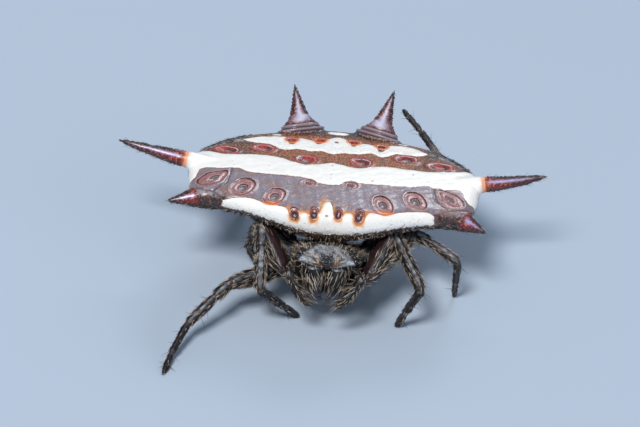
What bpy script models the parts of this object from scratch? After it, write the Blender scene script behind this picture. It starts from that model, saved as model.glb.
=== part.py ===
"""Spiny orb weaver, a still life-size model of the female, standing on seven of its eight feet.

The spider faces -Y with +Z up. The origin is on the floor, under the middle of the whole model.
Its right side is at -X. Sizes below are in millimetres, and every mesh is made in metres.
"""

import math

import bmesh
import bpy
from mathutils import Euler, Matrix, Vector

MM = 0.001
JOINT_GAP = 0.03
WELD = 1e-7
SHARP_ANGLE = 40

# Abdomen: a thin wide plate over a low cone that ends in the spinnerets
DISC_CENTRE = Vector((0.0, 1.6))
DISC_OUTLINE = [
    (0.00, -1.50), (1.20, -1.44), (2.20, -1.14), (3.10, -0.84), (4.00, -0.62),
    (4.75, -0.22), (5.08, 0.50), (5.18, 1.30), (5.22, 2.05), (4.95, 2.72),
    (4.35, 3.48), (3.45, 4.12), (2.40, 4.52), (1.20, 4.90), (0.00, 5.02),
]
DISC_HEIGHT = 3.56
DISC_LEVEL_Y = 1.8
DISC_SLOPE = -0.10
DISC_CROWN = 0.14
FRONT_DROP = 0.70
SIDE_DROP = 0.42
REAR_DROP = 0.30
DROP_RANGE = (2.0, -0.2)
SHELF_DEPTH = 0.70
SHELF_KEEL = 0.50
KEEL_WIDTH = 1.9
BELLY_BLEND = 0.16
BACK_TURN = 0.55
BELLY_TURN = 0.35
ABDOMEN_SEGMENTS = (64, 18)
CONE_CENTRE = Vector((0.0, 1.9))
CONE_TIP_HEIGHT = 1.02
CONE_SLOPE = 0.66
CONE_FLAT = 0.45

# The abdomen is turned on its waist as the animal holds it: about Y, then about Z
WAIST = (0.0, 0.2, 1.8)
ABDOMEN_ROLL = -0.55
ABDOMEN_YAW = -0.4

# Spines of the abdomen, as on the left side: root, bend, tip, then the radii from root to tip.
# Each root is narrow and lies under the back, so that the spine swells out of it
SPINES = {
    "front": ((3.85, 0.25, 3.26), (4.60, -0.10, 3.28), (5.72, -0.55, 3.17),
              (0.38, 0.55, 0.42, 0.29, 0.17, 0.015)),
    "median": ((4.00, 1.80, 3.28), (5.80, 1.80, 3.54), (7.65, 2.16, 3.84),
               (0.24, 0.31, 0.28, 0.22, 0.14, 0.015)),
    "rear": ((1.30, 3.80, 2.85), (1.46, 4.76, 3.50), (1.80, 5.96, 4.38),
             (0.55, 0.82, 0.46, 0.26, 0.15, 0.015)),
}
SPINE_BEVEL = 4
# The two sides differ a little: how far each tip is moved from its mirrored place
TIP_SHIFTS = {
    ("front", "left"): (-0.08, 0.0, -0.08),
    ("front", "right"): (0.0, 0.0, 0.08),
    ("median", "right"): (-0.12, 0.0, -0.04),
    ("rear", "left"): (0.04, 0.0, 0.06),
}

# Carapace: raised head in front, lower thorax behind
CARAPACE_CENTRE = Vector((0.0, -1.55))
CARAPACE_OUTLINE = [
    (0.00, -3.10), (0.60, -3.05), (1.04, -2.84), (1.13, -2.35), (1.18, -1.85),
    (1.34, -1.35), (1.26, -0.75), (0.75, -0.34), (0.00, -0.24),
]
CARAPACE_RIDGE = [(-3.10, 3.16), (-2.85, 3.30), (-2.40, 3.26), (-2.00, 3.08), (-1.60, 2.70),
                  (-1.20, 2.44), (-0.70, 2.26), (-0.20, 2.06)]
CARAPACE_FLOOR = [(-3.10, 2.06), (-0.20, 1.90)]
HEAD_SQUARENESS = 0.30
THORAX_SQUARENESS = 0.55
NECK_RANGE = (-2.2, -1.2)
PLATE_SEGMENTS = (28, 14)
MOUTH_FRONT = -2.24
MOUTH_ROOF = 2.76
MOUTH_SIZE = Vector((4.0, 2.0, 2.0))
TUBERCLE_CENTRE = (0.0, -2.98, 3.08)
TUBERCLE_RADIUS = 0.22
SOCKET_SEGMENTS = (12, 8)
PLATE_BELLY = 0.03

# Eyes: name, place of the left one, radius. Each pair is mirrored
EYES = {
    "front_median": ((0.105, -3.150, 3.050), 0.090),
    "rear_median": ((0.140, -3.000, 3.235), 0.085),
    "front_lateral": ((1.020, -2.880, 3.000), 0.080),
    "rear_lateral": ((1.060, -2.720, 3.100), 0.080),
}
SOCKET_GAP = 0.02
EYE_SEGMENTS = (10, 7)

# Mouthparts
CHELICERA_AXIS = ((0.44, -2.70, 2.74), (0.43, -2.76, 2.35), (0.38, -2.82, 1.90), (0.29, -2.86, 1.42))
CHELICERA_RADII = (0.42, 0.42, 0.36, 0.22)
FANG_AXIS = ((0.22, -2.84, 1.37), (0.16, -2.80, 1.20), (0.06, -2.70, 1.14))
FANG_RADII = (0.11, 0.09, 0.03)
FANG_BEVEL = 2
PALP_AXIS = ((0.62, -2.40, 1.48), (1.20, -2.70, 1.92), (1.30, -3.12, 2.55),
             (1.12, -3.34, 2.18), (0.84, -3.46, 1.76), (0.50, -3.50, 1.36))
PALP_RADII = (0.20, 0.21, 0.21, 0.19, 0.19, 0.12)

# Sternum, pedicel and spinnerets
STERNUM_OUTLINE = [(0.00, -2.20), (0.42, -2.05), (0.56, -1.60), (0.50, -0.95), (0.30, -0.45),
                   (0.00, -0.22)]
STERNUM_CENTRE = Vector((0.0, -1.35))
STERNUM_TOP = 1.82
STERNUM_DEPTH = 0.42
STERNUM_SQUARENESS = 0.6
PEDICEL_AXIS = ((0.0, -0.19, 1.70), (0.0, 0.80, 1.70))
PEDICEL_RADIUS = 0.18
PEDICEL_BEVEL = 4
SPINNERET_TIP = 0.70
SPINNERET_RADII = (0.42, 0.27)
SPINNERET_SEGMENTS = 16

# Legs: coxa root and femur root are mirrored, the rest is each leg's own pose
LEG_ROOTS = {
    1: ((0.84, -2.06, 1.62), (1.50, -2.34, 1.93)),
    2: ((0.88, -1.53, 1.58), (1.54, -1.58, 1.48)),
    3: ((0.86, -0.99, 1.54), (1.46, -0.94, 1.44)),
    4: ((0.74, -0.46, 1.53), (1.22, 0.02, 1.50)),
}
# Knee, patella end, tibia end, metatarsus end, tip
LEG_POSES = {
    (1, "right"): ((-2.42, -0.60, 2.62), (-2.35, -1.68, 2.40), (-2.28, -3.18, 1.65),
                   (-1.37, -2.66, 0.62), (-0.83, -2.36, 0.03)),
    (1, "left"): ((2.27, -0.54, 2.64), (2.70, -1.40, 2.48), (3.42, -2.71, 1.92),
                  (2.92, -2.52, 0.69), (2.61, -2.41, -0.08)),
    (2, "right"): ((-3.33, -2.75, 1.48), (-3.80, -3.45, 1.35), (-4.68, -4.42, 0.76),
                   (-5.14, -5.60, 0.30), (-5.34, -6.52, 0.12)),
    (2, "left"): ((2.98, 0.06, 2.35), (3.58, -0.16, 2.21), (4.64, -0.82, 1.93),
                  (4.64, -0.50, 0.75), (4.64, -0.27, -0.08)),
    (3, "right"): ((-2.62, 0.12, 2.06), (-2.74, 0.35, 1.50), (-2.88, 0.73, 0.60),
                   (-2.32, 0.05, 0.29), (-2.00, -0.31, 0.12)),
    (3, "left"): ((2.18, -0.04, 2.02), (2.20, 0.06, 1.58), (1.95, 0.28, 0.75),
                  (1.68, 0.75, 0.32), (1.48, 1.15, 0.12)),
    (4, "right"): ((-3.05, 1.50, 2.00), (-3.15, 2.40, 1.92), (-3.22, 3.88, 1.42),
                   (-2.95, 4.90, 0.55), (-2.72, 5.46, 0.05)),
    (4, "left"): ((3.10, 1.60, 2.06), (3.40, 2.60, 2.20), (4.00, 4.50, 2.30),
                  (2.94, 5.80, 2.90), (2.33, 6.50, 3.22)),
}
COXA_RADII = (0.23, 0.25)
FEMUR_RADII = (0.30, 0.38, 0.37, 0.28)
TIBIA_RADII = (0.26, 0.27, 0.28, 0.25)
TARSUS_RADII = (0.25, 0.25, 0.23)
FEMUR_SCALE = {1: 1.0, 2: 0.80, 3: 0.76, 4: 0.90}
FEMUR_SWELLING = (0.3, 0.62)
PATELLA_SWELLING = 0.6
OVERRUN = 0.9
ROUND_END = 0.55
LIMB_BEVEL = 3

COLOURS = {
    "shell_white": ((0.86, 0.83, 0.76), 0.45),
    "shell_dark": ((0.05, 0.04, 0.045), 0.40),
    "limb_black": ((0.035, 0.032, 0.035), 0.45),
    "skin_brown": ((0.16, 0.09, 0.06), 0.55),
    "eye_black": ((0.01, 0.01, 0.012), 0.10),
}


def clear_scene():
    for item in list(bpy.data.objects):
        bpy.data.objects.remove(item, do_unlink=True)


def make_collection(name):
    collection = bpy.data.collections.new(name)
    bpy.context.scene.collection.children.link(collection)
    return collection


def make_material(name):
    colour, roughness = COLOURS[name]
    material = bpy.data.materials.new(name)
    material.use_nodes = True
    shader = material.node_tree.nodes["Principled BSDF"]
    shader.inputs["Base Color"].default_value = (*colour, 1.0)
    shader.inputs["Roughness"].default_value = roughness
    shader.inputs["Metallic"].default_value = 0.0
    return material


def mirrored(point, side):
    """The point on the named side of the body, from its place on the left."""
    x, y, z = point
    return (x if side == "left" else -x, y, z)


def smoothstep(low, high, value):
    t = min(1.0, max(0.0, (value - low) / (high - low)))
    return t * t * (3.0 - 2.0 * t)


def along(table, value):
    """The smooth curve through (position, height) pairs, read at value."""
    if value <= table[0][0]:
        return table[0][1]
    for i in range(len(table) - 1):
        (x0, y0), (x1, y1) = table[i], table[i + 1]
        if value <= x1:
            before = table[max(i - 1, 0)]
            after = table[min(i + 2, len(table) - 1)]
            width = x1 - x0
            slope0 = (y1 - before[1]) / (x1 - before[0]) * width
            slope1 = (after[1] - y0) / (after[0] - x0) * width
            t = (value - x0) / width
            rise = (2 * t**3 - 3 * t**2 + 1) * y0 + (3 * t**2 - 2 * t**3) * y1
            return rise + (t**3 - 2 * t**2 + t) * slope0 + (t**3 - t**2) * slope1
    return table[-1][1]


def polar_outline(points, centre):
    """(angle, radius) pairs for one half outline, from the front at -90 degrees to the rear at 90."""
    pairs = []
    for x, y in points:
        offset = Vector((x, y)) - centre
        pairs.append((math.atan2(offset.y, offset.x), offset.length))
    return pairs


def outline_radius(pairs, angle):
    """Radius at any angle. The left half mirrors the right one."""
    folded = math.atan2(math.sin(angle), abs(math.cos(angle)))
    return along(pairs, folded)


def link(name, mesh, material, collection):
    obj = bpy.data.objects.new(name, mesh)
    obj.data.materials.clear()
    obj.data.materials.append(material)
    collection.objects.link(obj)
    mesh.shade_smooth()
    mesh.set_sharp_from_angle(angle=math.radians(SHARP_ANGLE))
    return obj


def to_mesh(name, bm):
    bmesh.ops.recalc_face_normals(bm, faces=bm.faces)
    mesh = bpy.data.meshes.new(name)
    bm.to_mesh(mesh)
    bm.free()
    return mesh


def cut_away(bm, point, normal):
    """Removes what lies ahead of the plane and closes the cut. The point is in millimetres."""
    geometry = bm.verts[:] + bm.edges[:] + bm.faces[:]
    bmesh.ops.bisect_plane(bm, geom=geometry, dist=WELD, plane_co=Vector(point) * MM,
                           plane_no=normal, clear_outer=True)
    open_edges = [edge for edge in bm.edges if edge.is_boundary]
    bmesh.ops.holes_fill(bm, edges=open_edges, sides=0)


def tube(name, points, radii, bevel_resolution=LIMB_BEVEL):
    """A round bar through points in millimetres, as a closed bmesh. Each point has its own radius."""
    curve = bpy.data.curves.new(name, "CURVE")
    curve.dimensions = "3D"
    curve.bevel_depth = MM
    curve.bevel_resolution = bevel_resolution
    curve.use_fill_caps = True
    spline = curve.splines.new("POLY")
    spline.points.add(len(points) - 1)
    for i, (point, radius) in enumerate(zip(points, radii)):
        spline.points[i].co = (*(Vector(point) * MM), 1.0)
        spline.points[i].radius = radius
    guide = bpy.data.objects.new(name + "_guide", curve)
    bpy.context.scene.collection.objects.link(guide)
    bpy.context.view_layer.update()
    mesh = bpy.data.meshes.new_from_object(guide.evaluated_get(bpy.context.evaluated_depsgraph_get()))
    bm = bmesh.new()
    bm.from_mesh(mesh)
    bmesh.ops.remove_doubles(bm, verts=bm.verts, dist=WELD)
    bpy.data.objects.remove(guide, do_unlink=True)
    bpy.data.meshes.remove(mesh)
    return bm


def bent_axis(root, bend, tip, count):
    """Points along the smooth curve from root to tip that leans towards bend."""
    root, bend, tip = Vector(root), Vector(bend), Vector(tip)
    points = []
    for i in range(count):
        t = i / (count - 1)
        points.append((1 - t) ** 2 * root + 2 * t * (1 - t) * bend + t**2 * tip)
    return points


def boolean(obj, cutter, operation):
    modifier = obj.modifiers.new(operation.lower(), "BOOLEAN")
    modifier.operation = operation
    modifier.solver = "EXACT"
    modifier.object = cutter
    return modifier


def make_cutter(name, bm, collection):
    cutter = bpy.data.objects.new(name, to_mesh(name, bm))
    collection.objects.link(cutter)
    cutter.hide_render = True
    cutter.display_type = "WIRE"
    return cutter


def disc_height(y):
    return DISC_HEIGHT + DISC_SLOPE * (y - DISC_LEVEL_Y)


def rim_height(x, y):
    """Height of the widest line round the abdomen, where its back turns down into the rim."""
    front = SIDE_DROP + (FRONT_DROP - SIDE_DROP) * math.exp(-((x / KEEL_WIDTH) ** 2))
    drop = REAR_DROP + (front - REAR_DROP) * smoothstep(*DROP_RANGE, y)
    return disc_height(y) - drop


def belly_height(x, y):
    """Underside: a shallow shelf at the rim that blends into the cone of the belly."""
    shelf = disc_height(y) - SHELF_DEPTH - SHELF_KEEL * math.exp(-((x / KEEL_WIDTH) ** 2))
    reach = max(CONE_FLAT, (Vector((x, y)) - CONE_CENTRE).length)
    cone = CONE_TIP_HEIGHT + CONE_SLOPE * (reach - CONE_FLAT)
    mix = min(1.0, max(0.0, 0.5 + 0.5 * (shelf - cone) / BELLY_BLEND))
    return shelf + (cone - shelf) * mix - BELLY_BLEND * mix * (1.0 - mix)


def abdomen_body():
    """A sphere primitive whose rings become rings of the abdomen: back above, belly below."""
    pairs = polar_outline(DISC_OUTLINE, DISC_CENTRE)
    bm = bmesh.new()
    round_count, height_count = ABDOMEN_SEGMENTS
    bmesh.ops.create_uvsphere(bm, u_segments=round_count, v_segments=height_count, radius=1.0)
    for vert in bm.verts:
        angle = math.atan2(vert.co.y, vert.co.x)
        rise = vert.co.z
        reach = math.hypot(vert.co.x, vert.co.y) * outline_radius(pairs, angle)
        x = DISC_CENTRE.x + reach * math.cos(angle)
        y = DISC_CENTRE.y + reach * math.sin(angle)
        rim = rim_height(x, y)
        if rise >= 0.0:
            crown = DISC_CROWN * rise**2
            turn = math.sin(min(rise / BACK_TURN, 1.0) * math.pi / 2)
            z = rim + (disc_height(y) + crown - rim) * turn
        else:
            turn = math.sin(min(-rise / BELLY_TURN, 1.0) * math.pi / 2)
            z = rim + (belly_height(x, y) - rim) * turn
        vert.co = Vector((x, y, z)) * MM
    return bm


def waist_empty():
    """An empty on the waist that carries the abdomen and its cutters at their turn."""
    empty = bpy.data.objects.new("waist", None)
    bpy.context.scene.collection.objects.link(empty)
    turn = Euler((0.0, math.radians(ABDOMEN_ROLL), math.radians(ABDOMEN_YAW))).to_matrix().to_4x4()
    centre = Matrix.Translation(Vector(WAIST) * MM)
    empty.matrix_world = centre @ turn @ centre.inverted()
    return empty


def build_abdomen(collection, cutters, material):
    waist = waist_empty()
    abdomen = link("abdomen", to_mesh("abdomen", abdomen_body()), material, collection)
    abdomen.parent = waist
    for name, (root, bend, tip, radii) in SPINES.items():
        for side in ("left", "right"):
            places = [mirrored(point, side) for point in (root, bend, tip)]
            places[2] = Vector(places[2]) + Vector(TIP_SHIFTS.get((name, side), (0.0, 0.0, 0.0)))
            axis = bent_axis(*places, len(radii))
            spine = tube(f"spine_{name}_{side}", axis, radii, SPINE_BEVEL)
            cutter = make_cutter(f"spine_{name}_{side}", spine, cutters)
            cutter.parent = waist
            boolean(abdomen, cutter, "UNION")


def plate_from_sphere(outline, centre, floor, roof, squareness):
    """A domed solid over a half outline and its mirror image, nearly flat underneath."""
    pairs = polar_outline(outline, centre)
    bm = bmesh.new()
    round_count, height_count = PLATE_SEGMENTS
    bmesh.ops.create_uvsphere(bm, u_segments=round_count, v_segments=height_count, radius=1.0)
    for vert in bm.verts:
        angle = math.atan2(vert.co.y, vert.co.x)
        reach = math.hypot(vert.co.x, vert.co.y) * outline_radius(pairs, angle)
        x = centre.x + reach * math.cos(angle)
        y = centre.y + reach * math.sin(angle)
        if vert.co.z > 0.0:
            z = floor(y) + (roof(y) - floor(y)) * vert.co.z ** squareness(y)
        else:
            z = floor(y) + PLATE_BELLY * vert.co.z
        vert.co = Vector((x, y, z)) * MM
    return bm


def ball(centre, radius, segments):
    bm = bmesh.new()
    round_count, height_count = segments
    bmesh.ops.create_uvsphere(bm, u_segments=round_count, v_segments=height_count,
                              radius=radius * MM, matrix=Matrix.Translation(Vector(centre) * MM))
    return bm


def build_carapace(collection, cutters, material):
    def squareness(y):
        share = smoothstep(*NECK_RANGE, y)
        return HEAD_SQUARENESS + (THORAX_SQUARENESS - HEAD_SQUARENESS) * share

    bm = plate_from_sphere(CARAPACE_OUTLINE, CARAPACE_CENTRE,
                           lambda y: along(CARAPACE_FLOOR, y),
                           lambda y: along(CARAPACE_RIDGE, y), squareness)
    carapace = link("carapace", to_mesh("carapace", bm), material, collection)

    tubercle = ball(TUBERCLE_CENTRE, TUBERCLE_RADIUS, SOCKET_SEGMENTS)
    boolean(carapace, make_cutter("tubercle", tubercle, cutters), "UNION")

    mouth = bmesh.new()
    centre = Vector((0.0, MOUTH_FRONT - MOUTH_SIZE.y / 2, MOUTH_ROOF - MOUTH_SIZE.z / 2))
    place = Matrix.Translation(centre * MM) @ Matrix.Diagonal((*(MOUTH_SIZE * MM), 1.0))
    bmesh.ops.create_cube(mouth, size=1.0, matrix=place)
    boolean(carapace, make_cutter("mouth", mouth, cutters), "DIFFERENCE")

    for name, (place, radius) in EYES.items():
        for side in ("left", "right"):
            socket = ball(mirrored(place, side), radius + SOCKET_GAP, SOCKET_SEGMENTS)
            cutter = make_cutter(f"socket_{name}_{side}", socket, cutters)
            boolean(carapace, cutter, "DIFFERENCE")


def build_eyes(collection, material):
    for name, (place, radius) in EYES.items():
        for side in ("left", "right"):
            node = f"eye_{name}_{side}"
            eye = ball(mirrored(place, side), radius, EYE_SEGMENTS)
            link(node, to_mesh(node, eye), material, collection)


def build_sternum(collection, material):
    """The dome of the shared plate turned over, so that it bulges down between the coxae."""
    bm = plate_from_sphere(STERNUM_OUTLINE, STERNUM_CENTRE, lambda y: -STERNUM_TOP,
                           lambda y: STERNUM_DEPTH - STERNUM_TOP, lambda y: STERNUM_SQUARENESS)
    for vert in bm.verts:
        vert.co.z = -vert.co.z
    bmesh.ops.reverse_faces(bm, faces=bm.faces)
    link("sternum", to_mesh("sternum", bm), material, collection)


def build_chelicerae(collection, material):
    for side in ("left", "right"):
        inward = Vector((-1.0 if side == "left" else 1.0, 0.0, 0.0))
        midline = mirrored((JOINT_GAP / 2, 0.0, 0.0), side)
        axis = [mirrored(point, side) for point in CHELICERA_AXIS]
        bm = tube(f"chelicera_{side}", axis, CHELICERA_RADII)
        cut_away(bm, midline, inward)
        cut_away(bm, (0.0, 0.0, MOUTH_ROOF - JOINT_GAP), Vector((0.0, 0.0, 1.0)))
        link(f"chelicera_{side}", to_mesh(f"chelicera_{side}", bm), material, collection)

        fang_axis = [mirrored(point, side) for point in FANG_AXIS]
        fang = tube(f"fang_{side}", fang_axis, FANG_RADII, FANG_BEVEL)
        cut_away(fang, midline, inward)
        link(f"fang_{side}", to_mesh(f"fang_{side}", fang), material, collection)


def build_pedicel(collection, material):
    """The waist, cut along the slope of the belly that it meets."""
    bm = tube("pedicel", PEDICEL_AXIS, (PEDICEL_RADIUS, PEDICEL_RADIUS), PEDICEL_BEVEL)
    top = PEDICEL_AXIS[0][2] + PEDICEL_RADIUS
    y = CONE_CENTRE.y - CONE_FLAT - (top - CONE_TIP_HEIGHT) / CONE_SLOPE
    slope = Vector((0.0, CONE_SLOPE, 1.0)).normalized()
    cut_away(bm, (0.0, y, top - 2 * JOINT_GAP), slope)
    link("pedicel", to_mesh("pedicel", bm), material, collection)


def build_spinnerets(collection, material):
    top = CONE_TIP_HEIGHT - JOINT_GAP
    bm = bmesh.new()
    middle = Vector((CONE_CENTRE.x, CONE_CENTRE.y, (top + SPINNERET_TIP) / 2))
    top_radius, tip_radius = SPINNERET_RADII
    bmesh.ops.create_cone(bm, cap_ends=True, segments=SPINNERET_SEGMENTS, radius1=tip_radius * MM,
                          radius2=top_radius * MM, depth=(top - SPINNERET_TIP) * MM,
                          matrix=Matrix.Translation(middle * MM))
    link("spinnerets", to_mesh("spinnerets", bm), material, collection)


def joint_plane(before, joint, after):
    """Normal of the plane that shares a bent joint evenly between its two segments."""
    incoming = (joint - before).normalized()
    outgoing = (after - joint).normalized()
    return (incoming + outgoing).normalized()


def limb_segment(name, points, radii, start_plane, end_plane, collection, material, floor_cut=False):
    """One segment, run past its joints with a rounded end and cut at each joint's plane."""
    points = [Vector(point) for point in points]
    radii = list(radii)
    if start_plane:
        direction = (points[1] - points[0]).normalized()
        points.insert(0, points[0] - direction * OVERRUN * radii[0])
        radii.insert(0, ROUND_END * radii[0])
    if end_plane:
        direction = (points[-1] - points[-2]).normalized()
        points.append(points[-1] + direction * OVERRUN * radii[-1])
        radii.append(ROUND_END * radii[-1])
    bm = tube(name, points, radii)
    if start_plane:
        joint, normal = start_plane
        cut_away(bm, joint + normal * JOINT_GAP / 2, -normal)
    if end_plane:
        joint, normal = end_plane
        cut_away(bm, joint - normal * JOINT_GAP / 2, normal)
    if floor_cut:
        cut_away(bm, (0.0, 0.0, 0.0), Vector((0.0, 0.0, -1.0)))
    link(name, to_mesh(name, bm), material, collection)


def femur_points(start, end):
    """The femur's axis with two points inside it, where its swelling is widest."""
    return [start, *(start.lerp(end, share) for share in FEMUR_SWELLING), end]


def build_leg(number, side, collection, material):
    coxa, root = [Vector(mirrored(point, side)) for point in LEG_ROOTS[number]]
    knee, patella, tibia, metatarsus, tip = [Vector(point) for point in LEG_POSES[(number, side)]]
    at_root = (root, joint_plane(coxa, root, knee))
    at_knee = (knee, joint_plane(root, knee, patella))
    at_tibia = (tibia, joint_plane(patella, tibia, metatarsus))
    femur_radii = [FEMUR_SCALE[number] * radius for radius in FEMUR_RADII]
    segments = [
        ("coxa", [coxa, root], COXA_RADII, None, at_root),
        ("femur", femur_points(root, knee), femur_radii, at_root, at_knee),
        ("tibia", [knee, knee.lerp(patella, PATELLA_SWELLING), patella, tibia], TIBIA_RADII,
         at_knee, at_tibia),
        ("tarsus", [tibia, metatarsus, tip], TARSUS_RADII, at_tibia, None),
    ]
    for segment, points, radii, start, end in segments:
        name = f"leg_{number}_{side}_{segment}"
        on_floor = segment == "tarsus" and (number, side) != (4, "left")
        limb_segment(name, points, radii, start, end, collection, material, on_floor)


def build_palp(side, collection, material):
    points = [Vector(mirrored(point, side)) for point in PALP_AXIS]
    hip, elbow, knee, shin, wrist, tip = points
    at_knee = (knee, joint_plane(elbow, knee, shin))
    at_wrist = (wrist, joint_plane(shin, wrist, tip))
    limb_segment(f"palp_{side}_femur", [hip, elbow, knee], PALP_RADII[:3], None, at_knee,
                 collection, material)
    limb_segment(f"palp_{side}_tibia", [knee, shin, wrist], PALP_RADII[2:5], at_knee, at_wrist,
                 collection, material)
    limb_segment(f"palp_{side}_tarsus", [wrist, tip], PALP_RADII[4:], at_wrist, None,
                 collection, material)


def main():
    clear_scene()
    parts = make_collection("spiny_orb_weaver")
    cutters = make_collection("cutters")
    materials = {name: make_material(name) for name in COLOURS}
    build_abdomen(parts, cutters, materials["shell_white"])
    build_carapace(parts, cutters, materials["shell_dark"])
    build_eyes(parts, materials["eye_black"])
    build_sternum(parts, materials["shell_dark"])
    build_chelicerae(parts, materials["shell_dark"])
    build_pedicel(parts, materials["skin_brown"])
    build_spinnerets(parts, materials["skin_brown"])
    for side in ("left", "right"):
        build_palp(side, parts, materials["limb_black"])
        for number in LEG_ROOTS:
            build_leg(number, side, parts, materials["limb_black"])


main()
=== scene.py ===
"""Looks of a still, life-size spiny orb weaver.

The skins, shells, eyes, claws and hair stand in the place of the plain solids of the frame. Sizes are in
millimetres and are turned to metres where a mesh is made. The spider faces -Y, +Z is up and its left side
is +X. A point of the abdomen's surface is painted and shaped by its place on the disc: x across, and q from
front to rear, where q runs on over the front and rear edges of the disc as if they were unrolled.
"""
import math

import bpy
import numpy as np
from mathutils import Matrix, Vector


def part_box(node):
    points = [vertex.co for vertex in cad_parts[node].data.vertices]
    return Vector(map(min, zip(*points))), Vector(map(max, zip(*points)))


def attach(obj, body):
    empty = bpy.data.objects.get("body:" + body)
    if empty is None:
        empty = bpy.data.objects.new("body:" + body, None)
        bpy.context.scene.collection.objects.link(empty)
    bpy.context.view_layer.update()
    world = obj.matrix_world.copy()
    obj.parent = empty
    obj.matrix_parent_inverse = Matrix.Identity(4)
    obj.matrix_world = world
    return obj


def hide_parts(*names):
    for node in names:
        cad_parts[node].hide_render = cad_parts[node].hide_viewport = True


MM = 0.001
SIDES = {"left": 1.0, "right": -1.0}

# Camera
CAMERA_AZIMUTH = 0.6
CAMERA_ELEVATION = 35.0
CAMERA_ROLL = 4.8
CAMERA_DISTANCE = 200.0
CAMERA_LENS = 315.0
AIM_HEIGHT = 2.017
AIM_SHIFT = (-0.402, 0.737)

# Lights: place and size in metres, power and colour
LIGHT_TARGET = (0, 0, 0.002)
LIGHTS = {"key": ((-0.10, -0.22, 0.36), 0.13, 1.65, (1.0, 0.98, 0.95)),
          "fill": ((0.30, -0.16, 0.16), 0.20, 0.16, (0.88, 0.93, 1.0)),
          "back": ((0.08, 0.34, 0.22), 0.14, 0.45, (0.86, 0.92, 1.0))}

# Abdomen
DISC_CENTRE = (0.0, 1.6)
DISC_OUTLINE = [(0.00, -1.50), (1.20, -1.44), (2.20, -1.14), (3.10, -0.84), (4.00, -0.62),
                (4.75, -0.22), (5.08, 0.50), (5.18, 1.30), (5.22, 2.05), (4.95, 2.72),
                (4.35, 3.48), (3.45, 4.12), (2.40, 4.52), (1.20, 4.90), (0.00, 5.02)]
DISC_HEIGHT, DISC_LEVEL_Y, DISC_SLOPE, DISC_CROWN = 3.56, 1.8, -0.10, 0.14
FRONT_DROP, SIDE_DROP, REAR_DROP = 0.70, 0.42, 0.30
DROP_RANGE = (2.0, -0.2)
SHELF_DEPTH, SHELF_KEEL, KEEL_WIDTH, BELLY_BLEND = 0.70, 0.50, 1.9, 0.16
BACK_TURN, BELLY_TURN = 0.55, 0.35
CONE_CENTRE = (0.0, 1.9)
CONE_TIP_HEIGHT, CONE_SLOPE, CONE_FLAT = 1.02, 0.66, 0.45
WAIST = np.array([0.0, 0.2, 1.8])
ABDOMEN_ROLL, ABDOMEN_YAW = -0.55, -0.4
ABDOMEN_GRID = (480, 150)
ABDOMEN_VOXEL = 0.0455
# Pulls of points towards their neighbours, which even a surface out or round it
EVENING, ROUNDING = (0.5, -0.52), (0.5,)
MAP_WIDTH = 17.4

# Spines: root, bend and tip on the left side, thickness along them, and where their own colour starts
SPINES = {
    "front": ((3.85, 0.25, 3.26), (4.60, -0.10, 3.28), (5.72, -0.55, 3.17),
              [(0.0, 0.38), (0.2, 0.53), (0.4, 0.44), (0.6, 0.33), (0.8, 0.17), (0.92, 0.08), (1.0, 0.012)],
              0.56),
    "median": ((4.00, 1.80, 3.28), (5.80, 1.80, 3.54), (7.65, 2.16, 3.84),
               [(0.0, 0.24), (0.2, 0.30), (0.4, 0.275), (0.6, 0.215), (0.8, 0.145), (0.92, 0.08),
                (1.0, 0.012)], 0.385),
    "rear": ((1.30, 4.45, 2.70), (1.46, 4.90, 3.50), (1.80, 5.96, 4.38),
             [(0.0, 0.80), (0.20, 0.88), (0.30, 0.86), (0.38, 0.64), (0.46, 0.47), (0.56, 0.32), (0.78, 0.16),
              (1.0, 0.012)], 0.24),
}
TIP_SHIFTS = {("front", "left"): (-0.17, 0.0, -0.12), ("front", "right"): (-0.15, 0.0, 0.10),
              ("median", "left"): (-0.05, 0.0, 0.03), ("median", "right"): (-0.19, 0.0, 0.02),
              ("rear", "left"): (0.06, 0.0, 0.10), ("rear", "right"): (0.0, 0.0, 0.02)}
SPINE_GRID = (72, 40)
TIP_START = 0.72
MEDIAN_SPINE, REAR_SPINE = 1, 2
REAR_FLATNESS = [(0.0, 0.50), (0.25, 0.50), (0.50, 0.92), (1.0, 1.0)]
REAR_FOLD_STEP, REAR_FOLD_END = 0.072, 0.42

# Markings: edges of the bands as (x, q)
UNROLL = 1.43
FRONT_BAND_TOP = [(-3.95, -1.00), (-3.30, -0.72), (-2.80, -0.72), (-2.30, -1.00), (-1.80, -1.07),
                  (-0.92, -1.38), (-0.14, -1.00), (0.60, -1.18), (1.50, -1.03), (1.95, -1.13),
                  (2.40, -0.85), (3.00, -0.68), (3.50, -0.68), (3.75, -1.00)]
FRONT_BAND_DIPS = [(-1.27, -0.74, 0.20), (-0.56, -0.78, 0.19), (-0.14, 0.50, 0.18), (0.29, -0.66, 0.18),
                   (1.05, -0.84, 0.21)]
LILAC_BAND_REAR = [(-5.20, 0.30), (-5.04, 0.45), (-4.93, 0.64), (-4.82, 1.15), (-4.10, 1.21),
                   (-3.45, 1.30), (-3.05, 1.06), (-1.75, 0.99), (-0.88, 0.90), (-0.50, 0.68),
                   (0.14, 0.66), (0.58, 0.95), (0.90, 0.88), (2.70, 0.95), (3.30, 1.13),
                   (3.80, 0.99), (4.40, 1.10), (4.62, 0.94), (4.72, 0.59), (4.89, 0.29), (5.20, 0.20)]
MEDIAN_BAND_REAR = [(-5.20, 2.75), (-4.60, 2.47), (-4.00, 2.29), (-2.84, 2.37), (-2.07, 2.28),
                    (-1.50, 2.00), (-1.10, 1.86), (-0.50, 2.00), (-0.10, 2.14), (0.56, 1.95),
                    (0.96, 1.94), (1.63, 2.20), (3.24, 2.17), (3.84, 2.29), (4.44, 2.46), (5.20, 2.95)]
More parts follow.
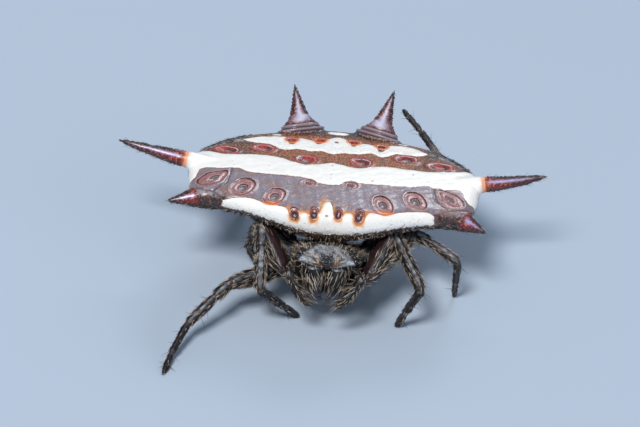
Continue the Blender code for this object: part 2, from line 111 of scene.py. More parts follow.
REAR_BAND_REAR = [(-3.60, 3.62), (-3.18, 3.32), (-2.50, 3.21), (-2.05, 2.92), (-1.80, 2.90),
                  (-1.40, 2.98), (-0.94, 2.90), (-0.55, 2.96), (-0.20, 2.82), (0.18, 2.93),
                  (0.71, 2.95), (1.22, 3.09), (1.64, 2.92), (2.10, 3.22), (2.90, 3.27), (3.40, 3.60)]
THIRD_BAND_REAR = [(-3.55, 3.46), (-2.80, 3.76), (-2.00, 3.87), (-1.25, 3.80), (-0.75, 3.62),
                   (-0.36, 3.92), (-0.05, 4.12), (0.26, 3.98), (0.50, 3.66), (0.95, 3.78),
                   (1.35, 3.72), (1.95, 3.87), (2.40, 3.95), (2.80, 3.84), (3.35, 3.44)]
THIRD_BAND_DIPS = [(-1.67, -0.55, 0.18), (-0.66, -0.22, 0.16), (0.56, -0.18, 0.14), (1.57, -0.48, 0.18)]
EDGES = {"front": (FRONT_BAND_TOP, FRONT_BAND_DIPS), "lilac": (LILAC_BAND_REAR, ()),
         "median": (MEDIAN_BAND_REAR, ()), "rust": (REAR_BAND_REAR, ()),
         "third": (THIRD_BAND_REAR, THIRD_BAND_DIPS)}
DIP_BLUNTNESS = 3.4
FRONT_BAND_ENDS = (-3.86, 3.68)
BAND_LIP = 0.07
LOWEST_PIT = -0.12
WHITE_PATCHES = [(-0.05, 4.50, 0.38, 0.16), (-2.24, 4.02, 0.16, 0.07), (2.34, 4.12, 0.18, 0.07)]

# Sigilla, the ringed pits of the disc: x, q, half length, half width, turn in degrees, kind
DISC_PIT, FRONT_PIT, REAR_PIT = 0.0, 1.0, 2.0
SIGILLA = [
    (-4.28, 0.52, 0.76, 0.42, 48, DISC_PIT), (-3.20, 0.03, 0.68, 0.43, 68, DISC_PIT),
    (-2.03, -0.42, 0.65, 0.38, 75, DISC_PIT), (-0.89, 0.62, 0.28, 0.23, 0, DISC_PIT),
    (0.60, 0.70, 0.30, 0.21, 0, DISC_PIT), (1.83, -0.40, 0.69, 0.37, 105, DISC_PIT),
    (2.96, 0.05, 0.67, 0.41, 110, DISC_PIT), (4.16, 0.42, 0.74, 0.44, 128, DISC_PIT),
    (-1.26, -1.52, 0.46, 0.18, 95, FRONT_PIT), (-0.57, -1.40, 0.47, 0.165, 90, FRONT_PIT),
    (0.29, -1.30, 0.45, 0.155, 90, FRONT_PIT), (1.03, -1.33, 0.52, 0.185, 85, FRONT_PIT),
    (-3.95, 2.63, 0.52, 0.28, -8, REAR_PIT), (-2.64, 2.88, 0.46, 0.29, -6, REAR_PIT),
    (-1.07, 2.26, 0.45, 0.35, 0, REAR_PIT), (0.90, 2.36, 0.45, 0.35, -2, REAR_PIT),
    (2.50, 2.92, 0.49, 0.30, 6, REAR_PIT), (3.74, 2.66, 0.55, 0.31, 4, REAR_PIT),
    (-1.68, 3.62, 0.22, 0.18, 0, REAR_PIT), (-0.66, 3.74, 0.24, 0.18, 0, REAR_PIT),
    (0.56, 3.79, 0.22, 0.17, 0, REAR_PIT), (1.57, 3.67, 0.22, 0.18, 0, REAR_PIT),
]
PIT_SQUARENESS = 2.3
ALMOND_LENGTH = 0.72
CREASES = [((-4.95, -0.20), (-4.25, -0.38), (-3.80, -0.90)), ((-4.25, -0.38), (-3.80, 0.30), (-3.68, 1.20)),
           ((4.85, -0.20), (4.20, -0.38), (3.62, -0.82)), ((4.20, -0.38), (3.68, 0.25), (3.55, 1.05))]
# Colours, as linear red, green and blue
LILAC = (0.225, 0.190, 0.235)
LILAC_WARM = (0.250, 0.135, 0.115)
RUST = (0.290, 0.082, 0.022)
RUST_DARK = (0.060, 0.014, 0.009)
ORANGE = (0.76, 0.20, 0.02)
YELLOW = (0.80, 0.47, 0.05)
DARK = (0.018, 0.015, 0.016)
WEDGE = (0.30, 0.26, 0.29)
BELLY = (0.026, 0.018, 0.016)
SPINE_RED = (0.27, 0.008, 0.010)
SPINE_PLUM = (0.045, 0.007, 0.014)
SPINE_BLACK = (0.012, 0.008, 0.010)
# Painted highlight of the side spines, a bluish-white strip along their top
SPINE_PAINTED_HIGHLIGHT = (0.42, 0.42, 0.70)
# Painted highlight of the rear spines, pale in the middle of their front
REAR_PAINTED_HIGHLIGHT = (0.60, 0.60, 0.76)
FOLD_GREY = (0.34, 0.24, 0.29)
CREAM = (0.80, 0.68, 0.56)
BEIGE = (0.42, 0.31, 0.23)
UMBER = (0.035, 0.022, 0.016)
BLACK = (0.006, 0.005, 0.006)
# Painted highlight on the tops of legs and palps
STEEL_HIGHLIGHT = (0.20, 0.205, 0.235)
SPINE_EDGE = (0.15, 0.010, 0.018)
WEDGE_RED = (0.12, 0.010, 0.008)
PLATE_GREY = (0.38, 0.34, 0.37)
# Painted shade in the creases beside the outer pits
CREASE_SHADE = (0.035, 0.012, 0.010)
BELLY_SPOT = (0.30, 0.20, 0.10)
RUST_LINE = (0.22, 0.07, 0.02)
GRAIN_PALE = (0.88, 0.52, 0.26)
FLECK_GREY = (0.60, 0.56, 0.60)
FLECK_PINK = (0.72, 0.62, 0.60)
SOOT = (0.07, 0.045, 0.055)
SNOW, SNOW_SHADE = (0.94, 0.93, 0.90), (0.86, 0.84, 0.80)
SPECK, SOIL = (0.16, 0.12, 0.11), (0.22, 0.19, 0.18)
ASH = (0.34, 0.32, 0.34)
SKIN_BLACK = (0.008, 0.006, 0.007)
MAROON = (0.022, 0.005, 0.008)
KNEE_BROWN = (0.055, 0.013, 0.007)
# The last of these is a painted highlight, grey on the tops of the legs
JOINT_EDGE, JOINT_RED, LEG_HIGHLIGHT_GREY = (0.26, 0.22, 0.20), (0.030, 0.006, 0.005), (0.42, 0.44, 0.50)
FOOT_BROWN = (0.26, 0.20, 0.19)
HAIR_WHITE, HAIR_GREY = (0.80, 0.78, 0.78), (0.70, 0.66, 0.62)
# The second is a painted highlight on the palps' knees
PALP_SKIN, PALP_KNEE_HIGHLIGHT = (0.010, 0.008, 0.010), (0.75, 0.80, 0.88)
# The second is a painted highlight on the top edge of the jaws
JAW_PLUM, JAW_EDGE_HIGHLIGHT = (0.030, 0.010, 0.036), (0.36, 0.40, 0.47)
CLAW_BROWN, FANG_BROWN = (0.02, 0.012, 0.010), (0.035, 0.010, 0.012)
# The first two are a painted reflection and a painted highlight on the head
EYE_FIELD_REFLECTION, EYE_BAR_HIGHLIGHT, EYE_RIM = (0.40, 0.42, 0.46), (0.52, 0.57, 0.64), (0.26, 0.26, 0.28)
# The second is a painted highlight on the rim of the face
CRESCENT, FACE_RIM_HIGHLIGHT, MOUND_BLACK = (0.155, 0.055, 0.010), (0.42, 0.47, 0.54), (0.005, 0.004, 0.004)
STERNUM_BROWN, WAIST_BROWN = (0.030, 0.022, 0.022), (0.09, 0.05, 0.035)
SPINNERET_TOP, SPINNERET_TIP = (0.13, 0.075, 0.045), (0.035, 0.024, 0.02)
BEAD_RED = (0.10, 0.06, 0.07)
FLOOR_COLOUR = (0.42, 0.50, 0.61)

# Dots on the bands: x, q, radius and colour
DOTS = [(-1.69, 0.97, 0.055, ORANGE), (1.37, 1.06, 0.055, ORANGE), (-0.12, -1.50, 0.06, RUST),
        (-0.06, 3.64, 0.08, RUST), (-0.11, 1.90, 0.028, DARK), (-0.11, 1.26, 0.026, DARK),
        (2.80, 1.81, 0.034, DARK)]

# Rings of the three kinds of pits, from the middle outwards
PINK, PALE, RED, WINE = (0.32, 0.135, 0.135), (0.56, 0.37, 0.36), (0.20, 0.010, 0.012), (0.050, 0.006, 0.008)
GREY, PIT, GLOW = (0.36, 0.35, 0.37), (0.03, 0.026, 0.03), (0.50, 0.028, 0.010)
DISC_RINGS = [
    (0.00, PIT), (0.08, GREY), (0.17, PIT), (0.22, GREY), (0.265, WINE), (0.315, RED), (0.345, PALE),
    (0.38, PINK), (0.49, PINK), (0.51, WINE), (0.53, PALE), (0.56, PINK), (0.67, PINK), (0.69, WINE),
    (0.745, WINE), (0.765, PALE), (0.83, LILAC_WARM)]
FRONT_RINGS = [
    (0.00, GREY), (0.12, PIT), (0.20, GREY), (0.26, PIT), (0.36, WINE), (0.47, RED), (0.52, PINK),
    (0.56, WINE), (0.62, RED), (0.66, PALE), (0.70, WINE), (0.83, RED)]
# In the rear pits the pale stop at 0.07, between two dark ones, is a painted glint
REAR_RINGS = [
    (0.00, PIT), (0.07, (0.66, 0.60, 0.60)), (0.16, PIT), (0.20, PALE), (0.25, WINE), (0.40, RED),
    (0.52, WINE), (0.565, PALE), (0.62, PALE), (0.655, RED), (0.77, (0.36, 0.035, 0.012)), (0.83, WINE)]

# Roughness and clear coat of each skin
CUTICLES = {"limb_cuticle": (0.34, 0.12), "head_cuticle": (0.34, 0.25), "mouth_cuticle": (0.30, 0.4),
            "soft_cuticle": (0.55, 0.0), "claw_shell": (0.25, 0.5)}

# Coats: number of hairs, on the legs for each millimetre except in the fringe, their length and radius, angle
# to the skin, bend, scatter, and the shares of their colours
COATS = {
    "leg_bristles": (68, 0.23, 0.0092, 22, 0.45, 0.16, [(0.72, CREAM), (0.28, BEIGE)]),
    "leg_down": (190, 0.13, 0.0085, 24, 0.45, 0.35, [(0.03, BEIGE), (0.12, UMBER), (0.85, BLACK)]),
    "leg_spikes": (5, 0.34, 0.0075, 62, 0.1, 0.2, [(1.0, BLACK)]),
    "leg_fringe": (60, 0.30, 0.012, 55, 0.15, 0.12, [(0.75, CREAM), (0.25, BEIGE)]),
    "palp_bristles": (170, 0.22, 0.0090, 26, 0.45, 0.2, [(0.70, CREAM), (0.30, BEIGE)]),
    "palp_down": (620, 0.14, 0.0085, 24, 0.45, 0.35, [(0.05, BEIGE), (0.95, BLACK)]),
    "palp_fringe": (80, 0.42, 0.0080, 35, 0.3, 0.12, [(0.25, BEIGE), (0.15, CREAM), (0.60, BLACK)]),
    "chelicera_bristles": (150, 0.32, 0.0090, 20, 0.45, 0.10, [(0.75, CREAM), (0.25, BEIGE)]),
    "chelicera_down": (420, 0.18, 0.009, 22, 0.45, 0.25, [(0.05, BEIGE), (0.95, BLACK)]),
    "head_hair": (820, 0.15, 0.0095, 26, 0.45, 0.22, [(0.68, CREAM), (0.32, BEIGE)]),
    "head_down": (2300, 0.11, 0.0080, 24, 0.45, 0.4, [(0.03, BEIGE), (0.07, UMBER), (0.90, BLACK)]),
    "face_fringe": (110, 0.085, 0.0075, 34, 0.45, 0.12, [(0.8, CREAM), (0.2, BEIGE)]),
    "sternum_hair": (900, 0.18, 0.008, 28, 0.45, 0.35, [(0.4, CREAM), (0.3, BEIGE), (0.3, UMBER)]),
    "spinneret_hair": (500, 0.11, 0.007, 20, 0.45, 0.35, [(0.4, BEIGE), (0.4, UMBER), (0.2, BLACK)]),
    "spine_hair": (520, 0.20, 0.0060, 45, 0.2, 0.35, [(0.50, HAIR_WHITE), (0.15, BEIGE), (0.35, BLACK)]),
    "rim_hair": (650, 0.15, 0.006, 40, 0.2, 0.35, [(0.30, HAIR_GREY), (0.30, BEIGE), (0.40, BLACK)]),
    "lip_hair": (2600, 0.17, 0.0088, 28, 0.45, 0.35, [(0.20, CREAM), (0.10, BEIGE), (0.70, BLACK)]),
    "belly_hair": (4600, 0.16, 0.0080, 22, 0.45, 0.35, [(0.20, CREAM), (0.25, BEIGE), (0.55, BLACK)]),
}
HAIR_LEVELS = ((0.0, 1.0), (0.35, 0.82), (0.70, 0.52))
HAIR_SIDES, BEAD_SIDES = 3, 6
BEAD_LEVELS = ((1.0, -0.2), (0.72, 0.62))
HAIR_PATCH = 0.003
HAIR_DEPTH = 0.03
LOWEST_HAIR, LOWEST_SKIN = 0.002, 0.004
TRACE = 1e-7

# Legs: where they leave the body, then knee, patella, tibia, metatarsus and tarsus ends
LEG_ROOTS = {1: ((0.84, -2.06, 1.62), (1.50, -2.34, 1.93)), 2: ((0.88, -1.53, 1.58), (1.54, -1.58, 1.48)),
             3: ((0.86, -0.99, 1.54), (1.46, -0.94, 1.44)), 4: ((0.74, -0.46, 1.53), (1.22, 0.02, 1.50))}
LEG_POSES = {
    (1, "right"): ((-2.42, -0.60, 2.62), (-2.35, -1.68, 2.40), (-2.28, -3.18, 1.65), (-1.37, -2.66, 0.62),
                   (-0.86, -2.38, 0.07)),
    (1, "left"): ((2.27, -0.54, 2.64), (2.70, -1.40, 2.48), (3.42, -2.71, 1.92), (2.92, -2.52, 0.69),
                  (2.66, -2.43, 0.06)),
    (2, "right"): ((-3.33, -2.75, 1.48), (-3.80, -3.45, 1.35), (-4.68, -4.42, 0.76), (-5.14, -5.60, 0.30),
                   (-5.32, -6.46, 0.07)),
    (2, "left"): ((2.98, 0.06, 2.35), (3.58, -0.16, 2.21), (4.64, -0.82, 1.93), (4.64, -0.50, 0.75),
                  (4.64, -0.30, 0.06)),
    (3, "right"): ((-2.62, 0.12, 2.06), (-2.74, 0.35, 1.50), (-2.88, 0.73, 0.60), (-2.32, 0.05, 0.22),
                   (-2.03, -0.28, 0.06)),
    (3, "left"): ((2.18, -0.04, 2.02), (2.20, 0.06, 1.58), (1.95, 0.28, 0.75), (1.68, 0.75, 0.26),
                  (1.50, 1.12, 0.06)),
    (4, "right"): ((-3.05, 1.50, 2.00), (-3.15, 2.40, 1.92), (-3.22, 3.88, 1.42), (-2.95, 4.90, 0.50),
                   (-2.75, 5.42, 0.06)),
    (4, "left"): ((3.10, 1.60, 2.06), (3.40, 2.60, 2.20), (4.00, 4.50, 2.30), (2.94, 5.80, 2.90),
                  (2.25, 6.54, 3.25)),
}
# Thickness of each leg segment, and how it swells between its ends
LEG_RADII = {"coxa": 0.27, "femur": 0.35, "patella": 0.235, "tibia": 0.205, "metatarsus": 0.150,
             "tarsus": 0.122}
LEG_SCALE = {1: 1.0, 2: 0.84, 3: 0.76, 4: 0.86}
SEGMENT_SWELLING = {
    "coxa": [(0.0, 0.80), (0.5, 1.0), (1.0, 0.86)],
    "femur": [(0.0, 0.62), (0.10, 0.80), (0.42, 1.0), (0.70, 0.96), (0.92, 0.76), (1.0, 0.66)],
    "patella": [(0.0, 0.90), (0.30, 1.0), (0.75, 1.02), (1.0, 0.86)],
    "tibia": [(0.0, 0.84), (0.25, 1.0), (0.60, 0.98), (0.90, 0.93), (1.0, 0.78)],
    "metatarsus": [(0.0, 1.08), (0.15, 1.02), (0.6, 0.92), (0.94, 0.90), (1.0, 0.78)],
    "tarsus": [(0.0, 0.98), (0.2, 1.0), (0.6, 0.95), (0.90, 0.78), (1.0, 0.52)],
}
JOINT_DEPTH, JOINT_WIDTH = 0.26, 0.035
LEG_STEP, LEG_SIDES, BEND_ROUNDING = 0.045, 28, 0.30

PALP_POINTS = ((0.62, -2.40, 1.48), (1.20, -2.70, 1.92), (1.30, -3.12, 2.55), (1.12, -3.34, 2.18),
               (0.84, -3.46, 1.76), (0.50, -3.50, 1.36))
PALP_RADII = (0.155, 0.165, 0.165, 0.150, 0.150, 0.075)
CHELICERA_POINTS = ((0.44, -2.70, 2.74), (0.43, -2.76, 2.35), (0.37, -2.82, 1.90), (0.26, -2.86, 1.42))
CHELICERA_RADII = (0.395, 0.40, 0.355, 0.250)
FANG_POINTS = ((0.22, -2.84, 1.40), (0.16, -2.80, 1.20), (0.05, -2.70, 1.14))
FANG_RADII = (0.10, 0.075, 0.012)


# Numbers

def smoothstep(low, high, value):
    """0 below low, 1 above high and smooth between them."""
    t = np.clip((np.asarray(value) - low) / (high - low), 0.0, 1.0)
    return t * t * (3.0 - 2.0 * t)


def bell(value, width):
    """1 at 0, falling to nothing past about twice the width."""
    return np.exp(-(np.asarray(value) / width) ** 2)


def along(table, value):
    """A smooth curve through the rows (place, value) of a table."""
    places, values = np.array(table, float).T
    last = len(places) - 1
    before = np.r_[0, np.arange(last)]
    after = np.r_[np.arange(1, last + 1), last]
    slopes = (values[after] - values[before]) / (places[after] - places[before])
    value = np.asarray(value, float)
    i = np.clip(np.searchsorted(places, value, side="right") - 1, 0, last - 1)
    width = places[i + 1] - places[i]
    t = np.clip((value - places[i]) / width, 0.0, 1.0)
    level = (2 * t**3 - 3 * t**2 + 1) * values[i] + (3 * t**2 - 2 * t**3) * values[i + 1]
    return level + width * ((t**3 - 2 * t**2 + t) * slopes[i] + (t**3 - t**2) * slopes[i + 1])


def unit(vectors):
    return vectors / np.maximum(np.linalg.norm(vectors, axis=-1, keepdims=True), 1e-9)


def blend(first, second, amount):
    """Colours or numbers between first and second."""
    first, second, amount = (np.asarray(v, float) for v in (first, second, amount))
    if first.shape[-1:] == (3,) or second.shape[-1:] == (3,):
        amount = amount[..., None]
    return first * (1.0 - amount) + second * amount


def mirrored(points, side):
    """Points that are given for the left side, on the given side."""
    return np.array(points) * (SIDES[side], 1, 1)


def waves(points, size, seed):
    """Soft, irregular waves of about the given size over points, from -1 to 1."""
    chance = np.random.default_rng(seed)
    total = np.zeros(len(points))
    for octave in (1.0, 0.55):
        for _ in range(5):
            direction = unit(chance.normal(size=3))
            phase = chance.uniform(0, 2 * math.pi)
            total += octave * np.sin(points @ direction * (2 * math.pi / (size * octave)) + phase)
    return total / 4.5


# Meshes

class Surface:
    """A surface of faces and end caps, with the normals, directions and map that its hair needs."""

    def __init__(self, points, quads, caps=()):
        self.points, self.quads, self.caps = points, quads, caps
        self.lie, self.corner_map = None, None
        self.normals = self.find_normals()

    @property
    def shape(self):
        return self.points, self.quads, self.caps

    def find_normals(self):
        a, b, c, d = (self.points[self.quads[:, k]] for k in range(4))
        flat = np.cross(c - a, d - b)
        total = np.zeros_like(self.points)
        for k in range(4):
            for axis in range(3):
                total[:, axis] += np.bincount(self.quads[:, k], flat[:, axis], len(self.points))
        return unit(total)

    def move(self, distance):
        """Moves each point along its normal."""
        self.points = self.points + self.normals * np.asarray(distance)[..., None]
        self.normals = self.find_normals()


def grid_faces(rows, columns):
    """The faces of a tube of rows of points, each row a closed ring."""
    row, column = np.meshgrid(np.arange(rows - 1), np.arange(columns), indexing="ij")
    here, beside = row * columns + column, row * columns + (column + 1) % columns
    return np.stack([here, beside, beside + columns, here + columns], -1).reshape(-1, 4)


def end_caps(rows, columns):
    """The faces that close a tube at two more points, which come after its rings."""
    turn = np.arange(columns)
    after, last = (turn + 1) % columns, (rows - 1) * columns
    return np.concatenate([np.c_[np.full(columns, rows * columns), after, turn],
                           np.c_[np.full(columns, rows * columns + 1), last + turn, last + after]])


def make_mesh(name, points, faces, caps=(), scale=MM):
    """A mesh of faces with four corners and caps with three."""
    mesh = bpy.data.meshes.new(name)
    sets = [np.asarray(s, np.int32) for s in (faces, caps) if len(s)]
    corners = np.concatenate([s.ravel() for s in sets])
    sizes = np.concatenate([np.full(len(s), s.shape[1]) for s in sets])
    mesh.vertices.add(len(points))
    mesh.vertices.foreach_set("co", (points * scale).astype(np.float32).ravel())
    mesh.loops.add(len(corners))
    mesh.loops.foreach_set("vertex_index", corners)
    mesh.polygons.add(len(sizes))
    mesh.polygons.foreach_set("loop_start", np.r_[0, np.cumsum(sizes)[:-1]].astype(np.int32))
    mesh.polygons.foreach_set("use_smooth", np.ones(len(sizes), bool))
    mesh.update(calc_edges=True)
    return mesh


def make_object(name, mesh, material, replaces=()):
    obj = bpy.data.objects.new(name, mesh)
    bpy.context.scene.collection.objects.link(obj)
    mesh.materials.append(material)
    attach(obj, "root")
    if replaces:
        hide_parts(*replaces)
    return obj


def store(mesh, name, values):
    """A number or a colour for each point, which the materials read by name."""
    values = np.asarray(values, np.float32)
    if values.ndim == 1:
        mesh.attributes.new(name, "FLOAT", "POINT").data.foreach_set("value", values)
    else:
        full = np.c_[values, np.ones(len(values), np.float32)]
        mesh.attributes.new(name, "FLOAT_COLOR", "POINT").data.foreach_set("color", full.ravel())


def store_map(mesh, corners):
    layer = mesh.uv_layers.new(name="OFBake")
    layer.data.foreach_set("uv", np.asarray(corners, np.float32).ravel())


def make_piece(name, shape, tint, material, replaces=()):
    """A piece from (points, quads, caps) in millimetres; tint is one colour or a colour for each point."""
    mesh = make_mesh(name, *shape)
    store(mesh, "tint", np.broadcast_to(tint, (len(shape[0]), 3)))
    make_object(name, mesh, material, replaces)
    return mesh


def ring_frames(path):
    """Two directions across a path at each of its points, which turn as little as they can."""
    forward = unit(np.gradient(path, axis=0))
    across = np.zeros_like(path)
    start = np.cross(forward[0], (0.0, 0.0, 1.0))
    if np.linalg.norm(start) < 0.1:
        start = np.cross(forward[0], (0.0, 1.0, 0.0))
    across[0] = unit(start)
    for i in range(1, len(path)):
        across[i] = unit(across[i - 1] - forward[i] * (across[i - 1] @ forward[i]))
    return forward, across, np.cross(forward, across)


def tube(path, radii, sides, flatten=1.0):
    """A closed tube round a path as (points, quads, caps); flatten is its height over its width."""
    _, across, up = ring_frames(path)
    angle = np.arange(sides) * (2 * math.pi / sides)
    height = np.broadcast_to(flatten, len(path))[:, None, None] * np.sin(angle)[None, :, None]
    ring = np.cos(angle)[None, :, None] * across[:, None] + height * up[:, None]
    points = (path[:, None] + ring * np.asarray(radii)[:, None, None]).reshape(-1, 3)
    rows = len(path)
    return np.concatenate([points, path[:1], path[-1:]]), grid_faces(rows, sides), end_caps(rows, sides)


def joined(parts):
    """Several (points, quads, caps) as one."""
    points, quads, caps, count = [], [], [], 0
    for part in parts:
        points.append(part[0])
        quads.append(part[1] + count)
        caps.append(part[2] + count)
        count += len(part[0])
    return np.concatenate(points), np.concatenate(quads), np.concatenate(caps)


def melted(mesh, voxel):
    """The outer surface of closed shapes that run into each other, as one even mesh in the same unit."""
    obj = bpy.data.objects.new("melted", mesh)
    bpy.context.scene.collection.objects.link(obj)
    modifier = obj.modifiers.new("even", "REMESH")
    modifier.mode = "VOXEL"
    modifier.voxel_size = voxel
    result = obj.evaluated_get(bpy.context.evaluated_depsgraph_get()).to_mesh()
    points = np.empty(len(result.vertices) * 3, np.float32)
    result.vertices.foreach_get("co", points)
    corners = np.empty(len(result.loops), np.int32)
    result.loops.foreach_get("vertex_index", corners)
    bpy.data.objects.remove(obj)
    bpy.data.meshes.remove(mesh)
    return points.reshape(-1, 3).astype(float), corners.reshape(-1, 4)


def eased(points, quads, pulls, amount=1.0):
    """Points drawn towards their neighbours by each of the pulls; a pull below 0 draws them back."""
    start = quads.ravel()
    end = np.roll(quads, -1, axis=1).ravel()
    count = np.maximum(np.bincount(start, minlength=len(points)), 1)[:, None]
    amount = np.asarray(amount)[..., None]
    for pull in pulls:
        mean = np.stack([np.bincount(start, points[end, k], len(points)) for k in range(3)], 1) / count
        points = points + pull * amount * (mean - points)
    return points


# Materials

class Paint:
    """A material, put together by calls that each add one node and give back its output."""

    def __init__(self, name, **values):
        self.material = bpy.data.materials.new(name)
        self.material.use_nodes = True
        self.tree = self.material.node_tree
        self.shader = self.tree.nodes["Principled BSDF"]
        self.place = self.node("ShaderNodeTexCoord").outputs["Object"]
        for socket, value in values.items():
            self.set(self.shader.inputs[socket.replace("_", " ")], value)

    def node(self, kind, **settings):
        node = self.tree.nodes.new(kind)
        for key, value in settings.items():
            setattr(node, key, value)
        return node

    def set(self, socket, value):
        if isinstance(value, bpy.types.NodeSocket):
            self.tree.links.new(value, socket)
        elif isinstance(value, tuple) and len(value) == 3 and socket.type == "RGBA":
            socket.default_value = (*value, 1.0)
        else:
            socket.default_value = value

    def field(self, name):
        return self.node("ShaderNodeAttribute", attribute_name=name).outputs["Fac"]

    def colour(self, name):
        return self.node("ShaderNodeAttribute", attribute_name=name).outputs["Color"]

    def noise(self, size, detail=3.0, roughness=0.6):
        """Cloudy noise from 0 to 1, with clouds of about the given size in millimetres."""
        node = self.node("ShaderNodeTexNoise")
        self.set(node.inputs["Vector"], self.place)
        node.inputs["Scale"].default_value = 1.0 / (size * MM)
        node.inputs["Detail"].default_value = detail
        node.inputs["Roughness"].default_value = roughness
        return node.outputs["Fac"]

    def grains(self, size):
        """Distance from the nearest of many scattered grains, as a share of their spacing."""
        node = self.node("ShaderNodeTexVoronoi")
        self.set(node.inputs["Vector"], self.place)
        node.inputs["Scale"].default_value = 1.0 / (size * MM)
        return node.outputs["Distance"]

    def math(self, operation, *values):
        node = self.node("ShaderNodeMath", operation=operation)
        for socket, value in zip(node.inputs, values):
            self.set(socket, value)
        return node.outputs[0]

    def times(self, first, second):
        return self.math("MULTIPLY", first, second)

    def step(self, value, low, high):
        """0 below low and 1 above high."""
        node = self.node("ShaderNodeMapRange", interpolation_type="SMOOTHSTEP")
        self.set(node.inputs["Value"], value)
        node.inputs["From Min"].default_value = low
        node.inputs["From Max"].default_value = high
        return node.outputs["Result"]

    def between(self, low, high, amount):
        """A number from low at 0 to high at 1."""
        return self.math("ADD", self.times(amount, high - low), low)

    def mix(self, amount, first, second):
        node = self.node("ShaderNodeMix", data_type="RGBA")
        self.set(node.inputs["Factor"], amount)
        self.set(node.inputs[6], first)
        self.set(node.inputs[7], second)
        return node.outputs[2]

    def stain(self, base, colour, mask, strength=1.0):
        """A base with a colour over it where the mask is high."""
        return self.mix(self.times(mask, strength), base, colour)

    def cover(self, colour, roughness=None):
        self.set(self.shader.inputs["Base Color"], colour)
        if roughness:
            self.set(self.shader.inputs["Roughness"], roughness)

    def ramp(self, value, stops):
        """Colours at places from 0 to 1."""
        node = self.node("ShaderNodeValToRGB")
        self.set(node.inputs["Fac"], value)
        elements = node.color_ramp.elements
        while len(elements) < len(stops):
            elements.new(0.5)
        for element, (place, colour) in zip(elements, stops):
            element.position = place
            element.color = (*colour, 1.0)
        return node.outputs["Color"]

    def relief(self, *layers):
        """Bump from layers of (height from 0 to 1, depth in millimetres)."""
        normal = None
        for height, depth in layers:
            node = self.node("ShaderNodeBump")
            node.inputs["Distance"].default_value = depth * MM
            self.set(node.inputs["Height"], height)
            if normal:
                self.set(node.inputs["Normal"], normal)
            normal = node.outputs["Normal"]
        self.set(self.shader.inputs["Normal"], normal)


def shell_material():
    """White, lilac and rust bands, ringed pits and dark red spines."""
    paint = Paint("shell_bands", Coat_Weight=0.35, Coat_Roughness=0.18, Specular_IOR_Level=0.5)
    grain, under, lilac, kind = (paint.field(name) for name in ("grain", "under", "lilac", "kind"))
    warp = paint.math("SUBTRACT", paint.noise(0.16, 4.0, 0.7), 0.5)
    cloud = paint.noise(0.55, 4.0)
    fleck = paint.step(paint.noise(0.05, 2.0), 0.60, 0.72)
    gaps = paint.grains(0.075)
    # White bands, with a soft edge towards the belly and thin rust lines along the others
    white_place = paint.math("ADD", paint.field("white"), paint.times(warp, paint.between(0.10, 0.42, under)))
    white = paint.step(white_place, -0.012, 0.018)
    line = paint.step(paint.math("ABSOLUTE", paint.math("ADD", white_place, 0.015)), 0.045, 0.010)
    # Ground colour with grains
    plain = paint.colour("ground")
    ground = paint.stain(plain, LILAC_WARM, paint.step(cloud, 0.40, 0.70))
    ground = paint.mix(paint.times(lilac, 0.9), plain, ground)
    ground = paint.stain(ground, GRAIN_PALE, paint.times(paint.step(gaps, 0.42, 0.16), grain), 0.45)
    ground = paint.stain(ground, DARK, paint.times(paint.step(gaps, 0.50, 0.80), grain), 0.92)
    ground = paint.stain(ground, FLECK_GREY, paint.times(fleck, lilac), 0.60)
    soot = paint.step(paint.noise(0.085, 3.0), 0.58, 0.68)
    ground = paint.stain(ground, SOOT, paint.times(soot, lilac), 0.45)
    ground = paint.stain(ground, RUST_LINE, line, paint.between(0.75, 0.0, under))
    # Ringed pits
    ring = paint.math("ADD", paint.field("ring"), paint.times(warp, 0.16))
    place = paint.times(ring, 0.8)
    is_front, is_rear = paint.step(kind, 0.4, 0.6), paint.step(kind, 1.4, 1.6)
    rings = paint.mix(is_front, paint.ramp(place, DISC_RINGS), paint.ramp(place, FRONT_RINGS))
    rings = paint.mix(is_rear, rings, paint.ramp(place, REAR_RINGS))
    rings = paint.stain(rings, GLOW, paint.times(is_rear, paint.step(cloud, 0.48, 0.58)), 0.6)
    rings = paint.stain(rings, FLECK_PINK, fleck, 0.38)
    rings = paint.stain(rings, WINE, paint.step(paint.noise(0.055, 3.0), 0.55, 0.63), 0.75)
    core = paint.times(paint.step(ring, 0.36, 0.22), paint.step(paint.noise(0.035, 2.0), 0.50, 0.58))
    rings = paint.stain(rings, PIT, core, 0.85)
    in_ring = paint.step(ring, 1.03, 1.00)
    ground = paint.mix(in_ring, ground, rings)
    # White itself, faintly mottled and speckled
    snow = paint.mix(paint.noise(0.9, 3.0), SNOW, SNOW_SHADE)
    specks = paint.times(paint.step(paint.grains(0.26), 0.12, 0.07), paint.step(paint.noise(0.7), 0.50, 0.60))
    snow = paint.stain(snow, SPECK, specks, 0.6)
    snow = paint.stain(snow, SOIL, paint.step(paint.noise(0.07, 3.0), 0.56, 0.70), under)
    # All together, with the fringes and dots over them
    fringe, fringe_colour = paint.field("fringe"), paint.colour("fringe_colour")
    layers = [paint.mix(fringe, layer, fringe_colour) for layer in (ground, snow)]
    colour = paint.mix(paint.times(white, paint.math("SUBTRACT", 1.0, in_ring)), *layers)
    colour = paint.mix(paint.field("dots"), colour, paint.colour("dot_colour"))
    paint.cover(colour, paint.between(0.34, 0.46, grain))
    grain_height = paint.times(paint.step(gaps, 0.62, 0.05), grain)
    paint.relief((grain_height, 0.016), (paint.noise(0.05, 3.0), 0.0045), (paint.noise(0.4, 2.0), 0.010))
    return paint.material


def bead_material():
    """Hard shiny grains of the spines and the rim."""
    paint = Paint("shell_beads", Roughness=0.28, Coat_Weight=0.5, Coat_Roughness=0.12)
    paint.cover(paint.stain(paint.colour("tint"), BLACK, paint.noise(0.08), 0.5))
    paint.relief((paint.noise(0.03, 2.0), 0.002))
    return paint.material


